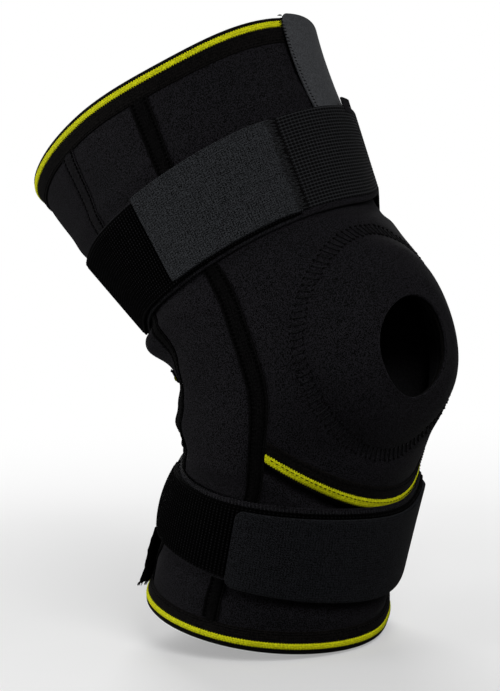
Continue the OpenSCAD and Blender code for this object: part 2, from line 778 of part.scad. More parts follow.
// Pile patch on the rear of the calf, just above the hem
module calf_rear_patch() {
    margin = 1;
    color(BINDING)
        cloth(
            function (s) 180 - rear_patch_half, function (s) 180 + rear_patch_half,
            function (phi) calf_edge(phi) + hem_w + margin,
            function (phi) lower_strap(phi) - lower_strap_w / 2 - margin,
            function (u, s) layer_gap, function (u, s) layer_gap + rear_patch_t, 8, 2
        );
}

// Hinge: one pair of geared arms in two plates on each side of the knee

// Half angle of a tooth at radius r, on involute flanks
function involute(angle) = tan(angle) - angle * PI / 180;
function tooth_half(r) =
    let (
        at_pitch = 90 / teeth - backlash / 4 / pitch_r * 180 / PI,
        flank = acos(min(1, base_r / r))
    )
    at_pitch + (involute(pressure) - involute(flank)) * 180 / PI;

function polar(r, angle) = [r * sin(angle), r * cos(angle)];
FLANK = [for (k = [0 : 4]) lerp(base_r, tip_r, k / 4)];

module gear_outline(phase) {
    polygon([
        for (i = [0 : teeth - 1])
            let (middle = phase + i * 360 / teeth)
            for (p = concat(
                [polar(root_r, middle - tooth_half(base_r))],
                [for (r = FLANK) polar(r, middle - tooth_half(r))],
                [for (k = [4 : -1 : 0]) polar(FLANK[k], middle + tooth_half(FLANK[k]))],
                [polar(root_r, middle + tooth_half(base_r))]
            )) p
    ]);
}

// Outline of an arm, drawn flat with its length along Y, raised far enough to hold the step jog
module arm_plan(jog) {
    rotate([90, 0, 90]) linear_extrude(height = 4 * (abs(jog) + arm_t), center = true) children();
}

// Arm that runs up from its pivot at the origin; jog is the step of its bar away from the knee
module arm(length, jog, phase) {
    reach = length + 1;
    back = tip_r + 1;
    bend_end = jog_start + jog_length;
    half = arm_t / 2;
    difference() {
        intersection() {
            rotate([90, 0, 0])
                linear_extrude(height = 4 * tip_r, center = true)
                    polygon([
                        [-half, -back], [half, -back], [half, jog_start], [half + jog, bend_end],
                        [half + jog, reach], [jog - half, reach], [jog - half, bend_end], [-half, jog_start]
                    ]);
            union() {
                arm_plan(jog) gear_outline(phase);
                arm_plan(jog) translate([-arm_w / 2, 0]) square([arm_w, length - arm_w / 2]);
                arm_plan(jog) translate([0, length - arm_w / 2]) circle(d = arm_w);
            }
        }
        rotate([0, 90, 0]) cylinder(h = 4 * arm_t, r = rivet_r + run_clear, center = true);
    }
}

// Places a piece at the upper (end = 1) or lower (end = -1) pivot of the inner side's hinge
module at_pivot(end, turn) {
    translate([hinge_x, end * pitch_r * sin(hinge_lean), end * pitch_r * cos(hinge_lean)])
        rotate([-turn, 0, 0])
            children();
}

module upper_arm() at_pivot(1, thigh_tilt) arm(upper_arm_length, upper_jog, 180 - half_flex);

module lower_arm() {
    at_pivot(-1, 180 - calf_tilt) arm(lower_arm_length, lower_jog, half_flex - 180 + 180 / teeth);
}

// Plate with round ends over both pivots, from x to x + plate_t
module hinge_plate(x) {
    translate([hinge_x + x, 0, 0])
        rotate([-hinge_lean, 0, 0])
            rotate([90, 0, 90])
                linear_extrude(height = plate_t)
                    difference() {
                        union() {
                            for (end = [-1, 1]) translate([0, end * pitch_r]) circle(r = plate_r);
                            square([2 * plate_r, pivot_gap], center = true);
                        }
                        for (end = [-1, 1]) translate([0, end * pitch_r]) circle(r = rivet_r + run_clear);
                    }
}

// Rivet with a flat-domed head at both ends, along X
module rivet() {
    seat = plate_out + run_clear;
    edge = 0.4 * rivet_head_h;
    rotate([0, 90, 0])
        rotate_extrude()
            polygon([
                [0, -rivet_end], [rivet_head_r - edge, -rivet_end], [rivet_head_r, edge - rivet_end],
                [rivet_head_r, -seat], [rivet_r, -seat], [rivet_r, seat], [rivet_head_r, seat],
                [rivet_head_r, rivet_end - edge], [rivet_head_r - edge, rivet_end], [0, rivet_end]
            ]);
}

module rivets() for (end = [-1, 1]) at_pivot(end, hinge_lean) rivet();

module washer(x) {
    translate([x, 0, 0])
        rotate([0, 90, 0])
            difference() {
                cylinder(h = washer_t, r = washer_r, center = true);
                cylinder(h = 3 * washer_t, r = rivet_r + run_clear, center = true);
            }
}

module washers() {
    middle = (arm_t + washer_room) / 2;
    for (end = [-1, 1]) for (x = [-middle, middle]) at_pivot(end, hinge_lean) washer(x);
}

// The hinge is drawn on the inner side, so the outer side mirrors it
module lateral() mirror([1, 0, 0]) children();

module lateral_upper_arm() color(ALLOY) lateral() upper_arm();

module medial_upper_arm() color(ALLOY) upper_arm();

module lateral_lower_arm() color(ALLOY) lateral() lower_arm();

module medial_lower_arm() color(ALLOY) lower_arm();

module lateral_outer_plate() color(STEEL) lateral() hinge_plate(plate_in);

module lateral_inner_plate() color(STEEL) lateral() hinge_plate(-plate_out);

module medial_outer_plate() color(STEEL) hinge_plate(plate_in);

module medial_inner_plate() color(STEEL) hinge_plate(-plate_out);

module lateral_rivets() color(STEEL) lateral() rivets();

module medial_rivets() color(STEEL) rivets();

module lateral_washers() color(NYLON) lateral() washers();

module medial_washers() color(NYLON) washers();

thigh_front_panel();
thigh_rear_panel();
thigh_lateral_pocket();
thigh_medial_pocket();
thigh_lateral_liner();
thigh_medial_liner();
thigh_hem();
thigh_hem_stripe();
thigh_seam_tapes();
front_patch();
upper_strap_band();
upper_strap_pad();
upper_strap_tab();
knee_front_panel();
kneecap_buttress();
kneecap_binding();
knee_lateral_pocket();
knee_medial_pocket();
knee_lateral_liner();
knee_medial_liner();
knee_seam_tapes();
mid_hem();
mid_hem_stripe();
rear_upper_panel();
rear_lower_panel();
rear_upper_hem();
rear_lower_hem();
rear_hem_stripes();
calf_front_panel();
calf_rear_panel();
calf_lateral_pocket();
calf_medial_pocket();
calf_lateral_liner();
calf_medial_liner();
calf_hem();
calf_hem_stripe();
calf_seam_tapes();
lower_strap_band();
lower_strap_pad();
lower_strap_tab();
calf_rear_patch();
lateral_upper_arm();
medial_upper_arm();
lateral_lower_arm();
medial_lower_arm();
lateral_outer_plate();
lateral_inner_plate();
medial_outer_plate();
medial_inner_plate();
lateral_rivets();
medial_rivets();
lateral_washers();
medial_washers();
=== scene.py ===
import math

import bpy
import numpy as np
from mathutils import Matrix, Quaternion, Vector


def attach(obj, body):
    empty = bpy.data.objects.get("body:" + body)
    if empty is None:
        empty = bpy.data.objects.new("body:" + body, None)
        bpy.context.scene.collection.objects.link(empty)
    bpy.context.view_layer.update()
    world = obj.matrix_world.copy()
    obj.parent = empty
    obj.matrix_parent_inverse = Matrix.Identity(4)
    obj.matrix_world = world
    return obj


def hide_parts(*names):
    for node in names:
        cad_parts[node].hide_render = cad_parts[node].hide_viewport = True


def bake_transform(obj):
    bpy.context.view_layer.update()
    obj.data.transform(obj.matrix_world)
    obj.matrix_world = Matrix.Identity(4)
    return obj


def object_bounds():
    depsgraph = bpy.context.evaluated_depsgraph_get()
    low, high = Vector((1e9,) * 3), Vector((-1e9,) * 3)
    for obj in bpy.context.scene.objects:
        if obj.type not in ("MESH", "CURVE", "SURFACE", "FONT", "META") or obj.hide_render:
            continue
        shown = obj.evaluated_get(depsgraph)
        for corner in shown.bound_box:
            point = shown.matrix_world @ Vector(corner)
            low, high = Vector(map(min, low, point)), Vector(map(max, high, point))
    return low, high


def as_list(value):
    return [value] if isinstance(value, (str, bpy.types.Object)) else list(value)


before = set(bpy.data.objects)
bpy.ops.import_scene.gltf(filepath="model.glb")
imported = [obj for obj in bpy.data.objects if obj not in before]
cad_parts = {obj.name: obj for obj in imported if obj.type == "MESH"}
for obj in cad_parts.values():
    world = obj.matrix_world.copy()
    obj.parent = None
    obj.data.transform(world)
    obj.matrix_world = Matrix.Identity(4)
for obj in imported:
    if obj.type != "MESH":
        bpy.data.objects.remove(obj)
CAD_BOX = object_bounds()

# Looks of a hinged open-patella knee brace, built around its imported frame.
# A place on the sleeve is a height s along the limb (mm from the knee axis, up the thigh), a turn phi
# round the limb (degrees, 0 front, 90 outer side) and off, a height above the sleeve's outer face in mm.
# Sizes are in mm and turns in degrees. A soft bump is written as rise, place and reach.

rng = np.random.default_rng(7)
MM = 0.001
DEG = math.pi / 180
SIDE = 90.0

# Limb: sections at heights along it, as half width, front depth and back depth
STATIONS = {
    -121: (66, 62, 60),
    -60: (64, 48, 59),
    -25: (72, 54, 57),
    5: (74, 75, 52),
    35: (75, 71, 59),
    70: (75, 56, 64),
    110: (75, 69, 80),
    159: (73, 83, 92),
}
KNEE_WIDTH, KNEE_FRONT = STATIONS[5][:2]
THIGH_LENGTH, CALF_LENGTH = 161.3, 123
THIGH_TILT, CALF_TILT = 35, 20
BEND_HALF = 55
THIGH_HEM_RISE, THIGH_HEM_DIP, CALF_HEM_DROP = 4.6, [(-2.4, 55, 26)], 9.3

# Sleeve
PANEL_T, POCKET_T, LINER_T = 4, 1.8, 1.5
HEM_W, HEM_T, HEM_STITCH = 11, 0.8, 1.1
STRIPE_W, STRIPE_T, STRIPE_INSET, STRIPE_TOOTH = 2.8, 0.4, 2.8, 0.7
GAP, SEAM_GAP = 0.3, 0.4
INSIDE = -PANEL_T - 2 * GAP
THIGH_JOINT, CALF_JOINT = 70, -73.5
POCKET_FRONT, FRONT_SWEEP = 67, (3.6, 20, 30)
FRONT_DRIFT, DRIFT_FROM, DRIFT_LENGTH = 12, 30, 60
POCKET_REAR, REAR_SWEEP = 120, (-4.5, 32, 16)
REAR_THIGH_DRIFT, REAR_CALF_DRIFT = 17, 19
WINDOW_TOP, WINDOW_BOTTOM = 13, -24
LINER_OVERLAP = 4
ARM_DEPTH, HINGE_DEPTH, HINGE_SLOPE = 10.6, 13.3, 25

# Kneecap opening, its sewn ring and the panel round it
OPENING_R, OPENING_SHIFT, OPENING_WAVE, WAVE_TURN = 24.8, 0.1, 0.8, 80
OPENING_HEIGHT, OPENING_TURN = 8.5, 2
RIM, RIM_SLOPE = 0.9, 12
FOAM_MARGIN, FOAM_R, FOAM_T, FOAM_EDGE, FOAM_SLOPES = 7, 60, 4, 0.4, (5, 12)
MID_HEM_DEPTH, MID_HEM_RISE, MID_HEM_TURN = 48, 27, 15
RING_R, RING_W, RING_PITCH = (61.5, 4.5, -2.2, -1.0, 1.3), 6, 3.4
TUCK, TUCK_FROM, TUCK_SLOPE, TUCK_FACE, TUCK_BACK = 18, 7, 6, 1.5, 3

# Straps
UPPER_W, LOWER_W = 50, 42
UPPER_HEIGHT, UPPER_LIFT, UPPER_BACK = 80, 10, [(5.5, 150, 42)]
LOWER_DEPTH, LOWER_LIFT, LOWER_TURN, LOWER_CREST = 71.5, 7, 40, [(8, -50, 26)]
UPPER_BAND, LOWER_BAND = 1.3, 2.1
UPPER_LIP, LOWER_LIP = 2.9, 0.7
STRAP_T, PAD_T, TAB_T = 1.8, 0.8, 1.6
UPPER_TAB, LOWER_TAB = (23, 84), (-50, 73.5)
UPPER_TAB_W, LOWER_TAB_W, LOWER_TAB_DROP = UPPER_W - UPPER_LIP + 0.4, 39, 2.5
UPPER_TAB_CORNER, LOWER_TAB_CORNER = 1.6, 4
TAB_SEAM, TAB_SEAM_RISE, TAB_SEAM_PITCH, TAB_SLOPE = 7.4, 0.1, 1.75, 9
TAB_BEND, PAD_END, BUMPS_FROM = 16, 140, 64
RIB, RIB_RISE, RIB_BRIDGE = 1.68, 0.18, 2.2
PILE_RISE, SELVAGE = 0.5, 1.8
UPPER_PILE, LOWER_PILE, PLAIN_PILE = 1.7, (1.95, 1.5), 6

# Patches at the front of the thigh and the rear of the calf
PATCH_TURNS, PATCH_T, PATCH_CORNER = (-42, 2.8), 0.7, 5
PATCH_SWEEP, SWEEP_FROM, SWEEP_LENGTH, SWEEP_END = 5.5, 9, 38, 60
PATCH_FOOT, PATCH_CLIMB, PATCH_RISE = THIGH_JOINT + 7, 30, 1.0
REAR_PATCH, REAR_PATCH_T = (143, 214), 1.4
REAR_LIFT, LIFT_REACH = 4.6, 9
REAR_DROP, DROP_REACH, DROP_SLOPE = 8.5, 26, 16
FRAYS, FRAY_R = 160, 0.25

# Cells of the panels' meshes, spacing of stitches, and radii of threads
CELL, HEM_PITCH, TAPE_PITCH, PATCH_PITCH = 2.2, 2.4, 2.2, 1.7
# Second radius: the ring's dark stitch ends, painted shade of its needle holes
RING_STITCH_R, RING_HOLE_SHADE_R, HEM_STITCH_R = 0.34, 0.52, 0.26
DASH_R, TAPE_STITCH_R, PATCH_STITCH_R = 0.2, 0.5, 0.36

# Relief of the cloth, which lies flat under the straps and calm at the hems
SEAM_DIP, RING_DIP, HEM_DIP = (-0.9, 0, 6), (-0.8, 0, 4), (-0.5, HEM_W, 2.5)
POCKET_SWELL, RING_SWELL = 1.1, 1.1
UPPER_COVER, LOWER_COVER, COVER_SLOPE = 34, 33, 8
UPPER_SWELL, LOWER_SWELL = (0.8, UPPER_COVER - 1, 6), (0.8, LOWER_COVER - 1, 6)
RING_FROM, RING_FROM_SLOPE, RING_FOOT, RING_FOOT_SLOPE = 27, 12, 2, 10
CALM, CALM_SLOPE = 5, 16
LONG_WAVE, SHORT_WAVE = 0.3, 0.2

# Folds, alike on both sides, and hollows: height, turn, their reach along and round the limb, rise
FOLDS = [
    (46, 130, 13, 16, 6.5),
    (30, 118, 8, 16, -1.5),
    (-12, 128, 10, 13, 4.0),
    (2, 126, 7, 12, 2.5),
    (-33, 120, 9, 14, -1.4),
    (8, 95, 16, 12, -0.8),
]
HOLLOWS = [
    (140, -38, 32, 30, -3.5),
    (47, -34, 15, 28, -2.0),
    (-14, -34, 14, 24, 2.4),
    (-33, -36, 14, 26, -2.6),
    (-112, -34, 18, 24, -3.0),
    (-90, -44, 15, 24, -3.0),
    (66, 128, 22, 18, -2.4),
]

# Surface of the limb
HEIGHTS = np.array(list(STATIONS), float)
SECTIONS = np.array(list(STATIONS.values()), float)
LAST = len(HEIGHTS) - 1
SLOPES = np.array([
    (SECTIONS[min(i + 1, LAST)] - SECTIONS[max(i - 1, 0)])
    / (HEIGHTS[min(i + 1, LAST)] - HEIGHTS[max(i - 1, 0)])
    for i in range(LAST + 1)
])
BEND_R = 2 * BEND_HALF / ((THIGH_TILT + CALF_TILT) * DEG)
HINGE_LEAN = (THIGH_TILT - CALF_TILT) / 2
FRONT_STRETCH = 1 + KNEE_FRONT / BEND_R
FRONT_R = (KNEE_WIDTH + KNEE_FRONT) / 2


def smooth(x):
    x = np.clip(x, 0, 1)
    return x * x * (3 - 2 * x)


def hill(x, width):
    return np.exp(-(x / width) ** 2)


def bump(x, rise, at, reach):
    return rise * hill(x - at, reach)


def lerp(a, b, t):
    return a + (b - a) * t


def drawn(low, high, size):
    """Random values in a range."""
    return lerp(low, high, rng.random(size))


def mirrored(values, sign):
    """Values from the middle outwards, repeated on the other side."""
    return np.concatenate([sign * values[:0:-1], values])


def cut(radius, from_side):
    """How far a rounded corner stays back, at a distance from its side."""
    return radius - np.sqrt(np.maximum(0, radius**2 - np.maximum(0, radius - from_side) ** 2))


def away(phi, at):
    """Turn from at to phi, at most half a round."""
    return (phi - at + 180) % 360 - 180


def bulges(places, phi):
    """Sum of soft bumps round the limb."""
    return sum(rise * hill(away(phi, at), spread) for rise, at, spread in places)


def sums(steps):
    return np.concatenate([[0], np.cumsum(steps)])


def run_along(points):
    return sums(np.linalg.norm(np.diff(points, axis=0), axis=1))


def section(s):
    """Half width, front depth and back depth at height s."""
    i = np.clip(np.searchsorted(HEIGHTS, s, side="right") - 1, 0, LAST - 1)
    h = (HEIGHTS[i + 1] - HEIGHTS[i])[..., None]
    raw = (s - HEIGHTS[i])[..., None] / h
    t = np.clip(raw, 0, 1)
    start = (1 + 2 * t) * (1 - t) ** 2 * SECTIONS[i] + t * (1 - t) ** 2 * h * SLOPES[i]
    end = t * t * (3 - 2 * t) * SECTIONS[i + 1] + t * t * (t - 1) * h * SLOPES[i + 1]
    return start + end + (raw - t) * h * np.where(raw < 0, SLOPES[i], SLOPES[i + 1])


def lean(s):
    """Backward lean of the limb at height s, in radians."""
    share = np.clip((s + BEND_HALF) / (2 * BEND_HALF), 0, 1)
    return (-CALF_TILT + (THIGH_TILT + CALF_TILT) * share) * DEG


def axis_point(s):
    """Point of the limb's centre line at height s, in metres."""
    b = np.clip(s, -BEND_HALF, BEND_HALF)
    a = lean(b)
    y = BEND_R * (math.cos(HINGE_LEAN * DEG) - np.cos(a)) + (s - b) * np.sin(a)
    z = BEND_R * (np.sin(a) - math.sin(HINGE_LEAN * DEG)) + (s - b) * np.cos(a)
    return np.stack([np.zeros_like(y), y, z], -1) * MM


def bare_skin(s, phi, off):
    """Point of the smooth sleeve surface, in metres."""
    q, a, p = section(s), lean(s), phi * DEG
    forward = (np.where(np.cos(p) > 0, q[..., 1], q[..., 2]) + off) * np.cos(p)
    side = -(q[..., 0] + off) * np.sin(p)
    return axis_point(s) + np.stack([side, -forward * np.cos(a), forward * np.sin(a)], -1) * MM


def degrees_for(mm, s):
    return mm / section(s)[..., 0] / DEG


def front_seam(s):
    drift = FRONT_DRIFT * smooth((-s - DRIFT_FROM) / DRIFT_LENGTH)
    return POCKET_FRONT + bump(s, *FRONT_SWEEP) + drift


def rear_seam(s):
    thigh = REAR_THIGH_DRIFT * s / THIGH_LENGTH
    calf = REAR_CALF_DRIFT * s / CALF_LENGTH
    return POCKET_REAR - np.where(s > 0, thigh, calf) + bump(s, *REAR_SWEEP)


def thigh_edge(phi):
    return THIGH_LENGTH - THIGH_HEM_RISE * np.cos(phi * DEG) + bulges(THIGH_HEM_DIP, phi)


def calf_edge(phi):
    return -CALF_LENGTH + CALF_HEM_DROP * np.cos(phi * DEG)


def mid_edge(phi):
    return -MID_HEM_DEPTH + MID_HEM_RISE * (1 - np.cos((phi + MID_HEM_TURN) * DEG))


def upper_line(phi):
    slant = UPPER_LIFT * (1 - np.sin(phi * DEG)) / 2
    return UPPER_HEIGHT + slant + bulges(UPPER_BACK, phi)


def lower_line(phi):
    slant = LOWER_LIFT * np.cos((phi - LOWER_TURN) * DEG)
    return -LOWER_DEPTH + slant + bulges(LOWER_CREST, phi)


def level(height):
    return lambda phi: height


def moved(edge, by):
    """An edge moved along the limb."""
    return lambda phi: edge(phi) + by


def kneecap_place(r, t):
    """Height and turn at radius r and clock angle t round the opening."""
    s = OPENING_HEIGHT + r * np.cos(t * DEG) / FRONT_STRETCH
    return s, OPENING_TURN + r * np.sin(t * DEG) / FRONT_R / DEG


def opening_radius(t):
    """Radius of the opening, a little three-cornered."""
    wave = OPENING_WAVE * np.cos(3 * (t - WAVE_TURN) * DEG)
    return OPENING_R + wave - OPENING_SHIFT * np.sin(t * DEG)


def ring_radius(t):
    return sum(c * np.cos(k * t * DEG) for k, c in enumerate(RING_R))


def dents(places, s, turn):
    return sum(
        bump(s, rise, height, reach) * hill(away(turn, at), spread)
        for height, at, reach, spread, rise in places
    )


def waves(s, turn):
    """Slight waves of the cloth, at lengths that don't repeat."""
    long = np.sin(s / 13 + turn / 17) * np.sin(turn / 11 - s / 29)
    short = np.sin(s / 7.3 - turn / 8.1)
    return LONG_WAVE * long + SHORT_WAVE * short


def relief(s, phi):
    """Rise of the cloth over the smooth surface: seams, pockets, folds and the sewn ring."""
    turn = np.abs(away(phi, 0))
    per_degree = section(s)[..., 0] * DEG
    front, rear = front_seam(s), rear_seam(s)
    across = np.clip((turn - front) / (rear - front), 0, 1)
    rise = 4 * POCKET_SWELL * across * (1 - across) + dents(FOLDS, s, turn) + waves(s, turn)
    for seam in (front, rear):
        rise = rise + bump((turn - seam) * per_degree, *SEAM_DIP)
    upper, lower = np.abs(s - upper_line(phi)), np.abs(s - lower_line(phi))
    rise = rise + bump(upper, *UPPER_SWELL) + bump(lower, *LOWER_SWELL)
    covered = smooth((UPPER_COVER - upper) / COVER_SLOPE) + smooth((LOWER_COVER - lower) / COVER_SLOPE)
    up, along = (s - OPENING_HEIGHT) * FRONT_STRETCH, (phi - OPENING_TURN) * FRONT_R * DEG
    r = np.hypot(up, along)
    from_ring = r - ring_radius(np.arctan2(along, up) / DEG)
    ring = smooth((r - RING_FROM) / RING_FROM_SLOPE) * smooth((-RING_FOOT - from_ring) / RING_FOOT_SLOPE)
    ring = RING_SWELL * ring + bump(from_ring, *RING_DIP)
    from_top, from_foot = thigh_edge(phi) - s, s - calf_edge(phi)
    calm = smooth((from_top - CALM) / CALM_SLOPE) * smooth((from_foot - CALM) / CALM_SLOPE)
    free = (1 - np.clip(covered, 0, 1)) * calm
    hems = bump(from_top, *HEM_DIP) + bump(from_foot, *HEM_DIP)
    return (rise + np.where(turn < SIDE, ring, 0)) * free + dents(HOLLOWS, s, phi) + hems


def skin(s, phi, off):
    """Point of the sleeve with its relief, in metres."""
    return bare_skin(s, phi, off + relief(s, phi))


def calm_skin(s, phi, off):
    """Point of the sleeve with its hollows alone."""
    return bare_skin(s, phi, off + dents(HOLLOWS, s, phi))


def ruled(line, width, swell, taper, flare=(), crown=()):
    """Surface of a strap, off by swell, at its top by flare more; its lower edge climbs by taper."""
    def surface(s, phi, off):
        c = line(phi)
        over = (s - c) / width
        off = off + bulges(swell, phi) + bulges(crown, phi) * (1 - 4 * over**2)
        low = bare_skin(c - width / 2 + bulges(taper, phi), phi, off)
        high = bare_skin(c + width / 2, phi, off + bulges(flare, phi))
        return low + (high - low) * (over + 0.5)[..., None]
    return surface


upper_skin = ruled(
    upper_line, UPPER_W, swell=[(1.8, -34, 22), (-2.0, 128, 16)], taper=[(10, -45, 20), (-4, 138, 20)]
)
lower_skin = ruled(
    lower_line, LOWER_W, swell=[(-2.2, -46, 22)], taper=[(6, -50, 26)],
    flare=[(0.4, -48, 22), (-2, 136, 22)], crown=[(3, 136, 22)]
)

# Meshes; an arched thread has sections at a share of its length, with lift and width in radii
ARCH = ((0, -0.8, 0.5), (0.22, 0.5, 1), (0.78, 0.5, 1), (1, -0.8, 0.5))
SHARP, SAMPLES = 55, 2000

# Cloth that bends between two bodies, and the stretch over which it does
BENDS = {
    "upper_knee": ("thigh", "knee", axis_point(62), axis_point(12)),
    "lower_knee": ("knee", "calf", axis_point(-20), axis_point(-66)),
}


def linked(name, data):
    made = bpy.data.objects.new(name, data)
    bpy.context.collection.objects.link(made)
    return made


def outline(wrap, rows, cols):
    """Corner rows, columns and layers (0 outside, 1 inside) of every face of a closed sheet."""
    last = cols if wrap else cols - 1
    i, j = np.mgrid[:rows - 1, :last].reshape(2, -1, 1)
    a = np.arange(last)[:, None]
    b = np.arange(rows - 1)[:, None]
    end = 0 * a + rows - 1
    faces = [
        (0, [i, i + 1, i + 1, i], [j, j, j + 1, j + 1], (0, 0, 0, 0)),
        (1, [i, i, i + 1, i + 1], [j, j + 1, j + 1, j], (1, 1, 1, 1)),
        (0, [0 * a] * 4, [a, a + 1, a + 1, a], (0, 0, 1, 1)),
        (0, [end] * 4, [a + 1, a, a, a + 1], (0, 0, 1, 1)),
    ]
    if not wrap:
        side = 0 * b + cols - 1
        faces.append((0, [b + 1, b, b, b + 1], [0 * b] * 4, (0, 0, 1, 1)))
        faces.append((0, [b, b + 1, b + 1, b], [side] * 4, (0, 0, 1, 1)))
    return [(face, np.hstack(row), np.hstack(col), np.array(layer)) for face, row, col, layer in faces]


class Piece:
    """Object gathered from sheets and threads."""

    def __init__(self, name, *materials):
        self.name, self.materials = name, materials
        self.points, self.faces, self.slots, self.places = [], [], [], []
        self.count, self.flat = 0, None

    def add(self, points, parts):
        """parts: (material slot, rows of four point numbers, place of each corner on the cloth)."""
        for slot, corners, places in parts:
            self.faces.append(corners + self.count)
            self.slots.append(np.full(len(corners), slot))
            self.places.append(places.reshape(-1, 2))
        self.points.append(points)
        self.count += len(points)

    def sheet(self, outer, inner, slots=(0, 0), wrap=False, ruler=None):
        """Closed cloth between two grids of points; wrap joins the last column to the first."""
        rows, cols = outer.shape[:2]
        ruler = outer if ruler is None else ruler
        along = np.linalg.norm(np.diff(ruler, axis=1, append=ruler[:, :1]), axis=2).mean(0)
        u, v = sums(along), sums(np.linalg.norm(np.diff(ruler, axis=0), axis=2).mean(1))
        if self.flat is None:
            self.flat = (u[-1] if wrap else u[cols - 1], v[-1])
        parts = []
        for face, row, col, layer in outline(wrap, rows, cols):
            corners = row * cols + col % cols + rows * cols * layer
            parts.append((slots[face], corners, np.stack([u[col], v[row]], -1)))
        self.add(np.concatenate([outer.reshape(-1, 3), inner.reshape(-1, 3)]), parts)
        return self

    def shell(self, s, phi, top, bottom, slots=(0, 0), wrap=False, surface=skin):
        """Closed cloth over a grid of heights and turns."""
        return self.sheet(surface(s, phi, top), surface(s, phi, bottom), slots, wrap, surface(s, phi, 0))

    def threads(self, start, end, rise, radius, slot=1):
        """Arched threads from start to end; rise is the way up at each, the radius in metres."""
        side = np.cross(end - start, rise)
        side = side / np.maximum(np.linalg.norm(side, axis=1, keepdims=True), 1e-9)
        rings = []
        for t, lift, width in ARCH:
            middle = lerp(start, end, t) + rise * lift * radius
            for a in (45, 135, 225, 315):
                rings.append(middle + radius * width * (side * math.cos(a * DEG) + rise * math.sin(a * DEG)))
        points = np.stack(rings, 1)
        around = [(k, (k + 1) % 4) for k in range(4)]
        quads = [[r + k, r + n, r + 4 + n, r + 4 + k] for r in (0, 4, 8) for k, n in around]
        quads += [[3, 2, 1, 0], [12, 13, 14, 15]]
        corners = (np.arange(len(start))[:, None, None] * 16 + np.array(quads)[None]).reshape(-1, 4)
        self.add(points.reshape(-1, 3), [(slot, corners, np.zeros((len(corners), 4, 2)))])

    def stitches(self, s, phi, off, radius, slot=1, surface=skin):
        """Threads between pairs of places: s, phi and off hold (start, end) arrays."""
        start, end = surface(s[0], phi[0], off[0]), surface(s[1], phi[1], off[1])
        rise = surface(s[0], phi[0], off[0] + 1) - start
        self.threads(start, end, rise / np.linalg.norm(rise, axis=1, keepdims=True), radius * MM, slot)

    def tie(self, body, slot, node=None):
        """Makes the object with its materials, parents it to its body, or leaves one on a bend in place in
        the world, and hides its node; slot is not used.
        """
        mesh = bpy.data.meshes.new(self.name)
        faces = np.concatenate(self.faces)
        mesh.from_pydata(np.concatenate(self.points).tolist(), [], faces.tolist())
        mesh.uv_layers.new(name="cloth").data.foreach_set("uv", np.concatenate(self.places).ravel())
        for material in self.materials:
            mesh.materials.append(material)
        mesh.polygons.foreach_set("material_index", np.concatenate(self.slots).astype(np.int32))
        mesh.polygons.foreach_set("use_smooth", np.ones(len(faces), bool))
        mesh.set_sharp_from_angle(angle=SHARP * DEG)
        mesh.update()
        self.obj = linked(self.name + "_cloth", mesh)
        if body in BENDS:
            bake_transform(self.obj)
        else:
            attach(self.obj, body)
        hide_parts(node or self.name)
        return self

    def lay(self, held="stretched", rests_on=(), share=0.98):
        """Works out the size of the piece's flat rectangle and keeps nothing; share, the part of that
        rectangle that is cloth, is not used.
        """
        width, length = (float(side) for side in self.flat)
        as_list(rests_on)


def even(line, low, high, pitch):
    """Values of a line's own measure, evenly spaced along it at about pitch mm."""
    x = np.linspace(low, high, SAMPLES)
    run = run_along(line(x))
    return np.interp(np.linspace(0, run[-1], max(2, round(run[-1] / MM / pitch) + 1)), run, x)


# Finishes
def add_node(tree, kind, settings=None, **inputs):
    """Node with its settings; an input goes by name, or by number as i0, i1 and so on."""
    made = tree.nodes.new("ShaderNode" + kind)
    for key, value in (settings or {}).items():
        setattr(made, key, value)
    for key, value in inputs.items():
        into = made.inputs[int(key[1:])] if key[1:].isdigit() else made.inputs[key]
        if isinstance(value, bpy.types.NodeSocket):
            tree.links.new(value, into)
        else:
            into.default_value = value
    return made


class Finish:
    """Principled material with a pattern worked out by nodes at real scale."""

    def __init__(self, name, rough, specular, sheen=0.0, metallic=0.0):
        self.material = bpy.data.materials.new(name)
        self.material.use_nodes = True
        self.tree = self.material.node_tree
        self.shader = self.tree.nodes["Principled BSDF"]
        settings = {
            "Roughness": rough, "Specular IOR Level": specular, "Sheen Weight": sheen, "Sheen Roughness": 0.4,
            "Metallic": metallic
        }
        for key, value in settings.items():
            self.shader.inputs[key].default_value = value

    def node(self, kind, settings=None, out=0, **inputs):
        return add_node(self.tree, kind, settings, **inputs).outputs[out]

    def noise(self, size, detail=2.0, stretch=(1, 1, 1)):
        """Spots of about size mm."""
        where = self.node("Mapping", Vector=self.node("TexCoord", out="Object"), Scale=stretch)
        return self.node("TexNoise", Vector=where, Scale=1 / (size * MM), Detail=detail)

    def wave(self, direction, pitch):
        """Rounded ridges at a pitch in mm, across the cloth (X) or along it (Y)."""
        settings = {"bands_direction": direction, "wave_profile": "SIN"}
        where = self.node("TexCoord", out="UV")
        return self.node("TexWave", settings, 1, Vector=where, Scale=math.pi / 10 / (pitch * MM))

    def math(self, operation, a, b):
        return self.node("Math", {"operation": operation}, i0=a, i1=b)

    def scaled(self, value, by, plus):
        return self.math("ADD", self.math("MULTIPLY", value, by), plus)

    def grooves(self, direction, pitch, power):
        """Narrow valleys between the ridges, 1 at their bottom."""
        return self.math("POWER", self.math("SUBTRACT", 1.0, self.wave(direction, pitch)), power)

    def colour(self, value, low, high, ends=(0.435, 0.565)):
        ramp = add_node(self.tree, "ValToRGB", Fac=value)
        for element, at, rgb in zip(ramp.color_ramp.elements, ends, (low, high)):
            element.position = at
            element.color = (*rgb, 1)
        self.tree.links.new(ramp.outputs[0], self.shader.inputs["Base Color"])

    def bump(self, height, depth):
        normal = self.node("Bump", Height=height, Strength=1.0, Distance=depth * MM)
        self.tree.links.new(normal, self.shader.inputs["Normal"])


